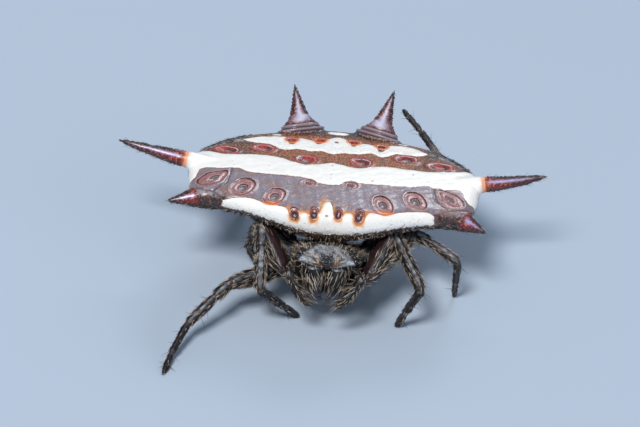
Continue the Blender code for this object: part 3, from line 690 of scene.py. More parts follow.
def cuticle_material(name, roughness, coat):
    """Near-black skin of head, mouthparts and legs, finely ridged, with browner and paler places."""
    paint = Paint(name, Coat_Weight=coat, Coat_Roughness=0.16, Specular_IOR_Level=0.35)
    base = paint.stain(paint.colour("tint"), UMBER, paint.step(paint.noise(0.30, 4.0), 0.40, 0.68), 0.45)
    base = paint.stain(base, ASH, paint.step(paint.noise(0.04, 2.0), 0.58, 0.68), 0.16)
    base = paint.stain(base, BLACK, paint.step(paint.noise(0.05, 2.0), 0.55, 0.63), 0.75)
    paint.cover(base, paint.between(roughness - 0.06, roughness + 0.16, paint.noise(0.15, 3.0)))
    paint.relief((paint.step(paint.grains(0.05), 0.6, 0.05), 0.005), (paint.noise(0.12, 4.0), 0.010),
                 (paint.noise(0.025, 2.0), 0.002))
    return paint.material


def hair_material():
    paint = Paint("hair", Roughness=0.45, Specular_IOR_Level=0.25)
    paint.cover(paint.stain(paint.colour("tint"), UMBER, paint.noise(0.09, 2.0), 0.2))
    return paint.material


def eye_material():
    paint = Paint("eye_lens", Roughness=0.06, Coat_Weight=1.0, Coat_Roughness=0.03)
    paint.cover(paint.mix(paint.noise(0.06, 2.0), BLACK, (0.022, 0.014, 0.012)))
    return paint.material


def floor_material():
    paint = Paint("floor", Roughness=0.9, Specular_IOR_Level=0.2)
    paint.cover(FLOOR_COLOUR)
    return paint.material


# Abdomen shape

def outline_radius(angle):
    """The disc's reach from its centre at an angle."""
    points = np.array(DISC_OUTLINE) - DISC_CENTRE
    pairs = np.c_[np.arctan2(points[:, 1], points[:, 0]), np.hypot(points[:, 0], points[:, 1])]
    return along(pairs, np.arctan2(np.sin(angle), np.abs(np.cos(angle))))


def disc_height(y):
    return DISC_HEIGHT + DISC_SLOPE * (y - DISC_LEVEL_Y)


def rim_height(x, y):
    front = SIDE_DROP + (FRONT_DROP - SIDE_DROP) * bell(x, KEEL_WIDTH)
    return disc_height(y) - REAR_DROP - (front - REAR_DROP) * smoothstep(*DROP_RANGE, y)


def belly_height(x, y):
    shelf = disc_height(y) - SHELF_DEPTH - SHELF_KEEL * bell(x, KEEL_WIDTH)
    reach = np.maximum(CONE_FLAT, np.hypot(x - CONE_CENTRE[0], y - CONE_CENTRE[1]))
    cone = CONE_TIP_HEIGHT + CONE_SLOPE * (reach - CONE_FLAT)
    share = np.clip(0.5 + 0.5 * (shelf - cone) / BELLY_BLEND, 0.0, 1.0)
    return shelf + (cone - shelf) * share - BELLY_BLEND * share * (1.0 - share)


def back_and_belly(x, y, rise):
    """Heights of the back and the belly; rise is 0 on the rim and 1 in the middle of the disc."""
    rim = rim_height(x, y)
    back, belly = (np.sin(np.clip(rise / turn, 0, 1) * math.pi / 2) for turn in (BACK_TURN, BELLY_TURN))
    top = rim + (disc_height(y) + DISC_CROWN * rise**2 - rim) * back
    return top, rim + (belly_height(x, y) - rim) * belly


def body_point(angle, latitude):
    """A point of the abdomen without its spines, before it is turned."""
    rise = np.sin(latitude)
    reach = np.cos(latitude) * outline_radius(angle)
    x = DISC_CENTRE[0] + reach * np.cos(angle)
    y = DISC_CENTRE[1] + reach * np.sin(angle)
    top, low = back_and_belly(x, y, np.abs(rise))
    return np.stack([x, y, np.where(rise >= 0, top, low)], -1)


def body_distance(points):
    """How far points stand out of the abdomen without its spines, roughly."""
    x, y, z = points.T
    offset = np.stack([x - DISC_CENTRE[0], y - DISC_CENTRE[1]])
    radius = outline_radius(np.arctan2(offset[1], offset[0]))
    share = np.hypot(*offset) / radius
    top, low = back_and_belly(x, y, np.sqrt(np.clip(1.0 - share**2, 0.0, 1.0)))
    return np.maximum(0, (share - 1) * radius) + np.maximum(0, z - top) + np.maximum(0, low - z)


def turn_matrix():
    """The abdomen's small roll and yaw round the waist."""
    roll, yaw = math.radians(ABDOMEN_ROLL), math.radians(ABDOMEN_YAW)
    return np.array(Matrix.Rotation(yaw, 3, "Z") @ Matrix.Rotation(roll, 3, "Y"))


def turned(points):
    return (points - WAIST) @ turn_matrix().T + WAIST


def spine_curve(kind, side, t):
    """Points of one spine's axis and its thickness there, before the abdomen is turned."""
    root, bend, tip, radii, _ = SPINES[kind]
    a, b, c = mirrored([root, bend, tip], side)
    c = c + TIP_SHIFTS[kind, side]
    t = np.asarray(t, float)
    share = t[..., None]
    path = (1 - share) ** 2 * a + 2 * share * (1 - share) * b + share**2 * c
    return path, np.maximum(along(radii, t), 0.010)


def spine_places(points):
    """The nearest spine of each point, the place along it and round it, and how far off its skin is."""
    best = np.full(len(points), 1e9)
    result = {}
    rows = np.arange(len(points))
    t = np.linspace(0, 1, 60)
    for number, kind in enumerate(SPINES):
        for side in SIDES:
            path, radii = spine_curve(kind, side, t)
            speed = np.gradient(path, t, axis=0)
            offset = points[:, None] - path[None]
            distance = np.linalg.norm(offset, axis=2)
            nearest = np.argmin(distance / (radii + 0.15), axis=1)
            gap = distance[rows, nearest] - radii[nearest]
            closer = gap < best
            best = np.where(closer, gap, best)
            off, run = offset[rows, nearest], speed[nearest]
            past = np.einsum("nd,nd->n", off, run) / np.einsum("nd,nd->n", run, run)
            values = {"kind": number, "t": np.clip(t[nearest] + past, 0.0, 1.0), "side": SIDES[side],
                      "face": off[:, 2] / np.maximum(distance[rows, nearest], 1e-6), "start": SPINES[kind][4],
                      "turn": np.degrees(np.arctan2(-off[:, 1], off[:, 2])),
                      "lateral": off[:, 0] / radii[nearest]}
            for key, value in values.items():
                result[key] = np.where(closer, value, result.get(key, 1.0))
    result["gap"] = best
    return result


def drawn_out(points, spine):
    """The spines' last stretches moved on, so that the tips reach their full length and are sharp."""
    points = points.copy()
    for number, kind in enumerate(SPINES):
        for side in SIDES:
            chosen = (spine["kind"] == number) & (spine["side"] == SIDES[side])
            chosen = chosen & (spine["t"] > TIP_START) & (spine["gap"] < 0.15)
            place = spine["t"][chosen]
            reach = TIP_START + (place - TIP_START) * (1.0 - TIP_START) / (place.max() - TIP_START)
            here, radius = spine_curve(kind, side, place)
            there, thin = spine_curve(kind, side, reach)
            points[chosen] = there + (points[chosen] - here) * (thin / radius)[:, None]
    return points


# Abdomen markings

def with_dips(table, dips, x):
    """An edge with its bays and tongues."""
    level = along(table, x)
    for place, depth, width in dips:
        level = level + depth * np.exp(-np.abs((x - place) / width) ** DIP_BLUNTNESS)
    return level


def edge_distance(table, dips, x, q):
    """How far behind an edge a point lies."""
    step = 0.02
    slope = (with_dips(table, dips, x + step) - with_dips(table, dips, x - step)) / (2 * step)
    return (q - with_dips(table, dips, x)) / np.sqrt(1.0 + slope**2)


def unrolled(points):
    """x and q of points on the abdomen, and their height over its rim."""
    x, y, z = points.T
    drop = np.maximum(disc_height(y) - z, -0.16)
    front, rear = smoothstep(1.2, -0.2, y), smoothstep(2.6, 4.0, y)
    return x, y - UNROLL * drop * front + UNROLL * drop * rear, z - rim_height(x, y)


def superellipse(u, v, squareness):
    return (np.abs(u) ** squareness + np.abs(v) ** squareness) ** (1.0 / squareness)


def pits(x, q):
    """Place in the nearest pit, 0 in its middle and 1 at its outer ring, its kind, and how far in front."""
    ring = np.full(len(x), 9.0)
    kind = np.zeros(len(x))
    low = np.zeros(len(x))
    for px, pq, length, width, turn, name in SIGILLA:
        angle = math.radians(turn)
        u = (x - px) * math.cos(angle) + (q - pq) * math.sin(angle)
        v = -(x - px) * math.sin(angle) + (q - pq) * math.cos(angle)
        if length >= ALMOND_LENGTH:
            width = width * (1.0 - 0.45 * smoothstep(-0.2, 1.0, u / length))
        place = superellipse(u / length, v / width, PIT_SQUARENESS)
        if length >= ALMOND_LENGTH:
            eye = superellipse(u / length, v / (width * 0.78), 1.15)
            place = blend(eye, place, smoothstep(0.45, 0.80, place))
        if name == FRONT_PIT:
            place = superellipse(u / length + 0.30 * (1.0 - place.clip(0, 1)), v / width, PIT_SQUARENESS)
        nearer = place < ring
        ring = np.where(nearer, place, ring)
        kind = np.where(nearer, name, kind)
        low = np.where(nearer, pq - q, low)
    return ring, kind, low


def crease_distance(x, q):
    """Distance from the nearest crease beside the outer pits."""
    nearest = np.full(len(x), 9.0)
    for route in CREASES:
        for (ax, aq), (bx, bq) in zip(route, route[1:]):
            run = np.array([bx - ax, bq - aq])
            share = ((x - ax) * run[0] + (q - aq) * run[1]) / (run @ run)
            share = np.clip(share, 0.0, 1.0)
            nearest = np.minimum(nearest, np.hypot(x - ax - share * run[0], q - aq - share * run[1]))
    return nearest


def markings(points):
    """All that colour and relief of the abdomen need to know about its points."""
    x, q, height = unrolled(points)
    spine = spine_places(points)
    is_rear = spine["kind"] == REAR_SPINE
    ring, kind, low = pits(x, q)
    behind = {name: edge_distance(*EDGES[name], x, q) for name in EDGES}
    # How far inside a white band or patch a point lies
    lip = height + BAND_LIP
    front = np.minimum.reduce([-behind["front"], lip, x - FRONT_BAND_ENDS[0], FRONT_BAND_ENDS[1] - x])
    median = np.minimum(behind["lilac"], -behind["median"])
    third = np.minimum(behind["rust"], -behind["third"])
    patches = [width * (1.0 - np.hypot((x - px) / length, (q - pq) / width))
               for px, pq, length, width in WHITE_PATCHES]
    white = np.minimum(np.maximum.reduce([front, median, third, *patches]), lip + 0.05)
    # How far past its start a spine has its own colour
    own = np.where(is_rear, body_distance(points) - 0.035, (spine["t"] - spine["start"]) * 3.2)
    own = np.where(spine["gap"] < 0.12, own, -1.0)
    ring = np.where((own > -0.01) | (height < LOWEST_PIT), 9.0, ring)
    below = smoothstep(0.02, -0.16, height) * np.where(is_rear, own < 0, smoothstep(-0.1, -0.35, own))
    # Folds round the roots of the rear spines
    folded = smoothstep(0.0, 0.05, own) * smoothstep(REAR_FOLD_END + 0.02, REAR_FOLD_END - 0.04, spine["t"])
    return {"x": x, "q": q, "height": height, "spine": spine, "ring": ring, "kind": kind, "low": low,
            "white": np.minimum(white, -own), "front": front, "below": below, "behind": behind, "own": own,
            "rear": smoothstep(-0.02, 0.05, behind["median"]),
            "past_third": smoothstep(-0.05, 0.12, behind["third"]), "crease": crease_distance(x, q),
            "fold": spine["t"] / REAR_FOLD_STEP, "folded": is_rear * folded}


def band_colours(marks):
    """Lilac before the middle band and rust behind it, and how grainy they are."""
    rust = blend(RUST, ORANGE, 0.22 * smoothstep(0.25, 0.0, np.abs(marks["behind"]["third"])))
    colour = blend(LILAC, rust, marks["rear"])
    colour = blend(colour, RUST_DARK, marks["rear"] * 0.7 * smoothstep(2.3, 3.6, np.abs(marks["x"])))
    return colour, blend(0.16, 0.95, marks["rear"])


def with_wedge(colour, grain, points, marks):
    """The wedge between the end of the front band and the front spine, grey with dark red grains low down."""
    q = marks["q"]
    wedge = smoothstep(3.55, 3.85, np.abs(marks["x"])) * smoothstep(-0.15, -0.35, q) * (1.0 - marks["rear"])
    low = smoothstep(-0.62, -0.85, q + 0.12 * waves(points, 0.5, 3))
    grainy = blend(SPINE_BLACK, WEDGE_RED, smoothstep(-0.2, 0.7, waves(points, 0.4, 4)))
    colour = blend(colour, WEDGE, wedge)
    colour = blend(colour, grainy, wedge * np.maximum(low, smoothstep(0.35, 0.8, waves(points, 0.28, 3))))
    return colour, np.maximum(grain, wedge * blend(0.25, 0.9, low))


def with_rim(colour, points, marks):
    """The rim behind the rust band and the rear face, black and grainy, with grey plates at the sides."""
    q, outer, past_third = marks["q"], np.abs(marks["x"]), marks["past_third"]
    beyond = np.maximum(0, outer - 3.9)
    corner = smoothstep(3.05, 3.35, q + 0.35 * beyond**2 + 0.42 * beyond)
    rim = np.clip(smoothstep(3.05, 3.5, outer) * (past_third + corner), 0, 1)
    plate = bell(q - (3.42 - 0.62 * np.maximum(0, outer - 3.6)), 0.13) * smoothstep(3.0, 3.3, outer)
    plate = np.clip(plate, 0, 1) * smoothstep(-0.5, 0.0, waves(points, 0.6, 13))
    rear_face = past_third * (1.0 - smoothstep(3.0, 3.3, outer))
    colour = blend(blend(colour, DARK, rim), PLATE_GREY, rim * plate)
    colour = blend(colour, blend(RUST_DARK, RUST, bell(q - 3.9, 0.25)), rear_face)
    return blend(colour, DARK, rear_face * smoothstep(4.15, 4.45, q) * 0.8)


def side_spine_colours(spine, shade):
    """Red root, plum along, black tip, with a smooth pale strip of painted highlight on top; and that strip."""
    t, start, turn = spine["t"], spine["start"], spine["turn"]
    # The strip is a painted highlight where the spine faces up and forwards to the lights
    strip = bell(turn - 40 - 4 * shade, blend(15, 10, smoothstep(0.6, 0.9, t)))
    strip = strip * smoothstep(start + 0.01, start + 0.08, t) * smoothstep(0.98, 0.78, t)
    skin = blend(SPINE_RED, SPINE_PLUM, smoothstep(84, 112, turn + 8 * shade))
    skin = blend(skin, SPINE_PLUM, smoothstep(start + 0.06, start + 0.34, t) * 0.75)
    skin = blend(skin, SPINE_BLACK, smoothstep(24, 8, turn) * smoothstep(start + 0.02, start + 0.14, t))
    skin = blend(skin, SPINE_BLACK, smoothstep(0.80, 0.94, t) * 0.85)
    skin = blend(skin, SPINE_PAINTED_HIGHLIGHT, strip * (0.85 + 0.15 * shade))
    return blend(skin, SPINE_BLACK, smoothstep(112, 140, np.abs(turn)) * 0.9), strip


def rear_spine_colours(marks, shade):
    """A smooth, pale painted highlight in the middle in front, dark edges, folds below; and the smooth middle."""
    spine = marks["spine"]
    t, lateral = spine["t"], np.abs(spine["lateral"])
    # The pale middle is a painted highlight, kept to the side that faces up and forwards
    centre = bell(spine["lateral"] + 0.05 * shade, blend(0.36, 0.24, smoothstep(0.45, 0.75, t)))
    centre = centre * smoothstep(REAR_FOLD_END - 0.02, REAR_FOLD_END + 0.04, t) * smoothstep(0.98, 0.75, t)
    centre = centre * smoothstep(-0.35, 0.25, spine["face"] + (spine["turn"] > 0) * 0.3)
    skin = blend(SPINE_EDGE, SPINE_BLACK, smoothstep(0.45, 0.85, lateral + 0.3 * shade))
    skin = blend(skin, SPINE_BLACK, smoothstep(0.80, 0.92, t) * 0.8)
    skin = blend(skin, REAR_PAINTED_HIGHLIGHT, centre * 0.95)
    # Grey-pink on the fold crests and black in the troughs, in step with their relief: the dark troughs are
    # painted shade
    ridges = 0.5 + 0.5 * np.sin(marks["fold"] * 2 * math.pi)
    folds = blend(SPINE_BLACK, FOLD_GREY, ridges**0.8 * smoothstep(1.15, 0.75, lateral))
    return blend(skin, folds, smoothstep(REAR_FOLD_END + 0.03, REAR_FOLD_END - 0.03, t)), centre


def ground_colours(points, marks):
    """Colour of the abdomen beside its white bands and pits, and how grainy it is."""
    colour, grain = with_wedge(*band_colours(marks), points, marks)
    colour = with_rim(colour, points, marks)
    # Painted shade: a dark line along the grooves of the creases
    colour = blend(colour, CREASE_SHADE, bell(marks["crease"], 0.045) * (1.0 - marks["rear"]) * 0.9)
    # Belly, brown-black with pale spots
    spots = smoothstep(0.62, 0.85, waves(points, 1.3, 11)) * smoothstep(2.9, 2.4, points[:, 2])
    colour = blend(colour, blend(BELLY, BELLY_SPOT, spots * 0.7), marks["below"])
    grain = blend(grain, 0.75, marks["below"])
    # Spines, grainy apart from smooth strips of painted highlight and folds with painted shade
    shade = waves(points, 0.30, 12)
    is_rear = marks["spine"]["kind"] == REAR_SPINE
    own = smoothstep(-0.03, 0.03, marks["own"])
    skin, strip = side_spine_colours(marks["spine"], shade)
    rear_skin, centre = rear_spine_colours(marks, shade)
    colour = blend(colour, np.where(is_rear[:, None], rear_skin, skin), own)
    strip = np.maximum(np.where(is_rear, centre, strip), 0.8 * marks["folded"])
    return colour, np.clip(blend(grain, np.clip(0.9 - strip, 0.05, 0.9), own), 0, 1)


def abdomen_relief(points, marks):
    """How far the abdomen's skin stands out for its bands, pits, folds and wrinkles."""
    ring, folds = marks["ring"], marks["fold"] * 2 * math.pi
    disc_rings = 0.020 * bell(ring - 0.97, 0.10) + 0.014 * bell(ring - 0.60, 0.08)
    disc_rings = disc_rings - 0.075 * smoothstep(0.52, 0.05, ring) - 0.018 * bell(ring - 0.78, 0.09)
    small_rings = 0.024 * bell(ring - 0.92, 0.14) - 0.075 * smoothstep(0.75, 0.1, ring)
    rings = np.where(marks["kind"] > DISC_PIT, small_rings, disc_rings) * (1.0 - marks["below"])
    dimples = 0.006 * waves(points, 0.55, 5) + 0.005 * waves(points, 0.24, 6)
    crease = 0.045 * bell(marks["crease"], 0.05) * (1.0 - marks["rear"])
    wrinkles = np.sin((marks["height"] + 0.10 * waves(points, 0.8, 8)) * 2 * math.pi / 0.17)
    return 0.022 * smoothstep(-0.03, 0.14, marks["white"]) + rings + dimples - crease + (
        0.028 * np.sin(folds) * marks["folded"] + 0.012 * wrinkles * marks["below"])


def abdomen_cage():
    """The body and its six spines as closed shapes that run into each other."""
    columns, rows = ABDOMEN_GRID
    angles = np.linspace(0, 2 * math.pi, columns, endpoint=False)
    latitudes = np.linspace(-math.pi / 2, math.pi / 2, rows + 2)[1:-1]
    angle, latitude = np.meshgrid(angles, latitudes)
    rings = body_point(angle.ravel(), latitude.ravel())
    poles = body_point(np.zeros(2), np.array([-math.pi / 2, math.pi / 2]))
    parts = [(np.concatenate([rings, poles]), grid_faces(rows, columns), end_caps(rows, columns))]
    t = np.linspace(0, 1, SPINE_GRID[0])
    for kind in SPINES:
        flatness = along(REAR_FLATNESS, t) if kind == "rear" else 1.0
        for side in SIDES:
            parts.append(tube(*spine_curve(kind, side, t), SPINE_GRID[1], flatness))
    return make_mesh("abdomen_cage", *joined(parts), scale=1.0)


def fringes(points, marks):
    """Fringes of pits, side spines and the front band's bays: how strong, and orange or yellow."""
    kind, ring, low, own, x = (marks[name] for name in ("kind", "ring", "low", "own", "x"))
    outside = smoothstep(0.88, 0.98, ring)
    front_pit = (kind == FRONT_PIT) * smoothstep(1.38, 1.10, ring) * smoothstep(-0.15, 0.25, low) * outside
    row_pit = (kind == REAR_PIT) * (marks["q"] > 3.3) * smoothstep(1.50, 1.1, ring) * outside
    disc_pit = (kind == DISC_PIT) * smoothstep(1.16, 1.02, ring) * smoothstep(0.30, 0.60, low)
    disc_pit = disc_pit * (np.abs(x) < 2.4)
    spine_edge = bell(own + 0.04, 0.075) * (marks["spine"]["kind"] == MEDIAN_SPINE)
    behind = marks["behind"]["front"]
    bays = smoothstep(-0.14, 0.0, behind) * smoothstep(0.20, 0.02, behind)
    bays = bays * outside * (np.abs(np.abs(x) - 0.85) < 0.75) * (marks["height"] > -0.1)
    masks = [0.95 * front_pit * (own < -0.05), 0.9 * row_pit * (own < -0.01), 0.8 * disc_pit,
             0.85 * spine_edge, 0.6 * bays]
    yellow = np.clip(bays * smoothstep(0.2, 0.9, waves(points, 0.4, 9)) + 0.25, 0, 1) * (kind == FRONT_PIT)
    return np.maximum.reduce(masks), blend(np.tile(ORANGE, (len(points), 1)), YELLOW, yellow)


def dots(marks):
    """The small dots on the bands: how strong, and their colour."""
    mask, colour = np.zeros(len(marks["x"])), np.tile(DARK, (len(marks["x"]), 1))
    for x, q, radius, dot_colour in DOTS:
        dot = smoothstep(radius + 0.02, radius - 0.02, np.hypot(marks["x"] - x, marks["q"] - q))
        dot = dot * (marks["height"] > -0.2)
        mask, colour = np.maximum(mask, dot), blend(colour, dot_colour, dot)
    return mask, colour


def build_abdomen(material):
    points, quads = melted(abdomen_cage(), ABDOMEN_VOXEL)
    points = eased(points, quads, EVENING * 4)
    near = bell(spine_places(points)["gap"], 0.25) * bell(body_distance(points), 0.16)
    points = eased(points, quads, ROUNDING * 14, near)
    points = drawn_out(points, spine_places(points))
    surface = Surface(points, quads)
    marks = surface.marks = markings(points)
    surface.colour, grain = ground_colours(points, marks)
    surface.move(abdomen_relief(points, marks))
    surface.points = turned(surface.points)
    surface.normals = surface.normals @ turn_matrix().T
    under = smoothstep(0.55, 0.0, marks["height"] + BAND_LIP) * (marks["front"] > -0.6)
    lilac = (1.0 - marks["rear"]) * (1.0 - marks["below"]) * smoothstep(0.0, -0.05, marks["own"])
    fringe, fringe_colour = fringes(points, marks)
    dot, dot_colour = dots(marks)
    mesh = make_mesh("abdomen_skin", surface.points, quads)
    for name, values in (("white", marks["white"]), ("ring", marks["ring"].clip(0, 3)),
                         ("kind", marks["kind"]), ("grain", grain), ("under", under),
                         ("lilac", lilac), ("fringe", fringe),
                         ("dots", dot), ("ground", surface.colour), ("fringe_colour", fringe_colour),
                         ("dot_colour", dot_colour)):
        store(mesh, name, values)
    surface.corner_map = abdomen_map(points, surface)
    store_map(mesh, surface.corner_map)
    make_object("abdomen_skin", mesh, material, ["abdomen"])
    return surface


def abdomen_map(points, surface):
    """Each face's place on a flat map: the back in the upper half, the belly in the lower one."""
    away = points[:, :2] - DISC_CENTRE
    reach = np.linalg.norm(away, axis=1, keepdims=True)
    drop = np.maximum(0.0, disc_height(points[:, 1]) - points[:, 2])[:, None]
    spread = away + away / np.maximum(reach, 0.5) * drop * 0.55
    down = surface.normals[surface.quads].mean(axis=1)[:, 2] < -0.15
    back = (spread / MAP_WIDTH + (0.5, 0.73))[surface.quads]
    belly = (away / MAP_WIDTH + (0.5, 0.23))[surface.quads]
    return np.where(down[:, None, None], belly, back)


# Hair

def scatter(surface, count, density, seed):
    """Random places on a surface: a function for values there, their places on the map, and the draws."""
    chance = np.random.default_rng(seed)
    quads = surface.quads
    a, b, c, d = (surface.points[quads[:, k]] for k in range(4))
    area = np.linalg.norm(np.cross(c - a, d - b), axis=1) * 0.5
    weight = area * density[quads].mean(axis=1)
    chosen = chance.choice(len(quads), size=count, p=weight / weight.sum())
    u, v = chance.random((2, count))
    shares = np.stack([(1 - u) * (1 - v), u * (1 - v), u * v, (1 - u) * v], 1)
    corners = quads[chosen]

    def at(values):
        return np.einsum("nk,nk...->n...", shares, values[corners])

    flat = np.einsum("nk,nkd->nd", shares, surface.corner_map[chosen])
    return at, flat, chance


def small_shapes(name, rings, maps, sides, tint):
    """A mesh of many small closed shapes, each of a few rings with the given sides and a tip."""
    each = len(rings)
    points = np.stack(rings, 1).reshape(-1, 3)
    points[:, 2] = np.maximum(points[:, 2], LOWEST_HAIR)
    maps = np.stack(maps, 1).reshape(-1, 2)
    turn, top = np.arange(sides), each - 1 - sides
    tip = np.c_[top + turn, top + (turn + 1) % sides, np.full(sides, each - 1)]
    base = [(0, k + 1, k) for k in range(1, sides - 1)]
    starts = (np.arange(len(points) // each) * each)[:, None, None]
    quads = (grid_faces((each - 1) // sides, sides) + starts).reshape(-1, 4)
    caps = (np.concatenate([tip, base]) + starts).reshape(-1, 3)
    mesh = make_mesh(name, points, quads, caps)
    store(mesh, "tint", np.repeat(tint, each, axis=0))
    store_map(mesh, np.concatenate([maps[quads.ravel()], maps[caps.ravel()]]))
    return mesh


def circle(sides):
    """Places round a circle of radius 1."""
    angle = np.arange(sides) * (2 * math.pi / sides)
    return np.stack([np.cos(angle), np.sin(angle)], 1)


def hair_mesh(name, roots, normals, lie, lengths, radii, stand, bend, colours, flat):
    """Thin curved cones, each closed, that leave the skin at an angle and bend down along the lie."""
    across = unit(np.cross(normals, lie))
    lie = unit(np.cross(across, normals))
    rise, run = np.sin(stand)[:, None], np.cos(stand)[:, None]
    lengths, radii, bend = lengths[:, None], radii[:, None], bend[:, None]

    def centre(t):
        height = t * rise * (1.0 - bend * t) - HAIR_DEPTH
        return roots + lengths * (lie * (t * run + bend * t * t * rise) + normals * height)

    rings, maps = [], []
    for t, share in HAIR_LEVELS:
        up = np.cross(unit(centre(t + 0.05) - centre(t)), across)
        for offset in circle(HAIR_SIDES) * share:
            rings.append(centre(t) + radii * (offset[0] * across + offset[1] * up))
            maps.append(flat + HAIR_PATCH * 0.5 * offset)
    return small_shapes(name, [*rings, centre(1.0)], [*maps, flat], HAIR_SIDES, colours)


def coat(name, kind, surface, density, seed, material, lengths=1.0, scale=None):
    """Hair of one kind over a surface; lengths multiplies its number, and scale its size at each point."""
    number, length, radius, stand, bend, stray, palette = COATS[kind]
    count = int(number * lengths)
    at, flat, chance = scatter(surface, count, density, seed)
    roots, normals = at(surface.points), unit(at(surface.normals))
    lie = at(surface.lie) + chance.normal(size=(count, 3)) * stray
    size = chance.uniform(0.65, 1.25, count)
    if scale is not None:
        size = size * at(scale)
    radii = radius * chance.uniform(0.75, 1.25, count)
    stands = np.radians(chance.normal(stand, 9.0, count).clip(4, 85))
    bends = bend * chance.uniform(0.5, 1.3, count)
    shares = np.cumsum([share for share, _ in palette])
    pick = np.searchsorted(shares / shares[-1], chance.random(count))
    colours = np.array([colour for _, colour in palette])[pick.clip(0, len(palette) - 1)]
    colours = colours * chance.uniform(0.7, 1.25, (count, 1))
    mesh = hair_mesh(name, roots, normals, lie, length * size, radii, stands, bends, colours, flat)
    make_object(name, mesh, material)


def beads(name, surface, count, density, radius, tint, seed, material):
    """Small shiny grains, each a low dome of two rings and a top."""
    at, flat, chance = scatter(surface, count, density, seed)
    roots, normals = at(surface.points), unit(at(surface.normals))
    first = unit(np.cross(normals, chance.normal(size=(count, 3))))
    second = np.cross(normals, first)
    size = radius * chance.uniform(0.6, 1.3, count)[:, None]
    rings, maps = [], []
    for reach, height in BEAD_LEVELS:
        for offset in circle(BEAD_SIDES) * reach:
            rings.append(roots + size * (offset[0] * first + offset[1] * second + height * normals))
            maps.append(flat + HAIR_PATCH * 0.5 * offset)
    mesh = small_shapes(name, [*rings, roots + size * normals], [*maps, flat], BEAD_SIDES, at(tint))
    make_object(name, mesh, material)


# Limbs

def rounded_path(points, step, window):
    """A path through points with rounded bends, and the place of each point along it."""
    points = np.array(points, float)
    lengths = np.linalg.norm(np.diff(points, axis=0), axis=1)
    places = np.r_[0, np.cumsum(lengths)]
    count = int(places[-1] / step) + 1
    s = np.linspace(0, places[-1], count)
    path = np.stack([np.interp(s, places, points[:, k]) for k in range(3)], 1)
    reach = max(1, int(window / step))
    kernel = np.hanning(2 * reach + 3)[1:-1]
    kernel /= kernel.sum()
    first = 2 * path[0] - path[1:reach + 1][::-1]
    last = 2 * path[-1] - path[-reach - 1:-1][::-1]
    padded = np.concatenate([first, path, last])
    return np.stack([np.convolve(padded[:, k], kernel, "valid") for k in range(3)], 1), s, places


def at_joints(s, places, width, away=0.0):
    """1 at the joints of a limb, or at a distance from them, and 0 elsewhere."""
    return np.maximum.reduce([bell(np.abs(s - place) - away, width) for place in places[1:-1]])


def limb_surface(path, radii, sides):
    """The skin of a limb, with hair lying towards its tip and a map of round by along."""
    surface = Surface(*tube(path, radii, sides))
    rows = len(path)
    row, column = np.meshgrid(np.arange(rows - 1), np.arange(sides), indexing="ij")
    steps = ((0, 0), (1, 0), (1, 1), (0, 1))
    corners = np.stack([np.stack([column + dc, row + dr], -1) for dc, dr in steps], 2)
    surface.corner_map = corners.reshape(-1, 4, 2) / np.array([sides, rows]) * 0.96 + 0.02
    forward = unit(np.gradient(path, axis=0))
    surface.lie = np.concatenate([np.repeat(forward, sides, axis=0), forward[:1], forward[-1:]])
    surface.normals[-2:] = [-forward[0], forward[-1]]
    surface.row = np.concatenate([np.repeat(np.arange(rows), sides), [0, rows - 1]])
    return surface


def leg_profile(number, s, places):
    """Thickness along a leg, with swollen segments and narrow joints, and the segment at each place."""
    radius, segment = np.zeros(len(s)), np.zeros(len(s), int)
    for i, name in enumerate(LEG_RADII):
        start, end = places[i], places[i + 1]
        inside = (s >= start - 1e-9) & (s <= end + 1e-9)
        share = (s[inside] - start) / (end - start)
        radius[inside] = LEG_RADII[name] * LEG_SCALE[number] * along(SEGMENT_SWELLING[name], share)
        segment[inside] = i
    for place in places[1:-1]:
        radius = radius * (1.0 - JOINT_DEPTH * bell(s - place, JOINT_WIDTH * 1.6))
    soft = np.convolve(np.pad(radius, 1, mode="edge"), (0.25, 0.5, 0.25), "valid")
    return soft, segment


def upper_face(surface, path):
    """How much each point of a limb faces up and forwards, across its axis."""
    forward = unit(np.gradient(path, axis=0))[surface.row]
    upward = np.array([0.0, -0.40, 0.92])
    upward = unit(upward - forward * (forward @ upward)[:, None])
    return np.einsum("nd,nd->n", surface.normals, upward)


def leg_tint(surface, s, places, segment, number, face):
    """Colour along a leg: near black, a painted highlight on top, paler joints, dark red on the first two femora.
    """
    row = surface.row
    joint, edge = at_joints(s, places, 0.03), at_joints(s, places, 0.022, 0.065)
    base = blend(np.tile(SKIN_BLACK, (len(s), 1)), JOINT_EDGE, edge * 0.5)
    base = blend(base, JOINT_RED, joint)
    raised = places[4] + 0.9
    if number == 4:
        base = blend(base, FOOT_BROWN, smoothstep(raised + 0.3, raised - 0.2, s) * (segment >= 4))
    tint = base[row]
    thick = (segment[row] < 4) * (segment[row] > 0) * (1.0 - joint[row])
    femur = segment[row] == 1
    # Painted highlights: broken grey streaks where the leg faces up and forwards
    highlight_streaks = 0.5 + 0.5 * np.sin(s[row] * 11.0 + 3.0 * np.sin(s[row] * 3.7 + number))
    width = smoothstep(0.90, 0.985, face) * (0.25 + 0.65 * highlight_streaks) * np.where(femur, 0.6, 1.0)
    tint = blend(tint, LEG_HIGHLIGHT_GREY, width * thick)
    # A faint painted highlight on top of the metatarsus and tarsus
    tint = blend(tint, STEEL_HIGHLIGHT, smoothstep(0.90, 0.99, face) * (segment[row] >= 4) * 0.15)
    if number == 1:
        inward = -np.sign(surface.points[:, 0]) * surface.normals[:, 0]
        tint = blend(tint, MAROON, femur * smoothstep(-0.30, 0.05, inward))
    if number == 2:
        knee = smoothstep(places[2] - 0.9, places[2] - 0.4, s[row])
        tint = blend(tint, KNEE_BROWN, femur * knee * smoothstep(-0.1, -0.5, surface.normals[:, 2]))
    return tint


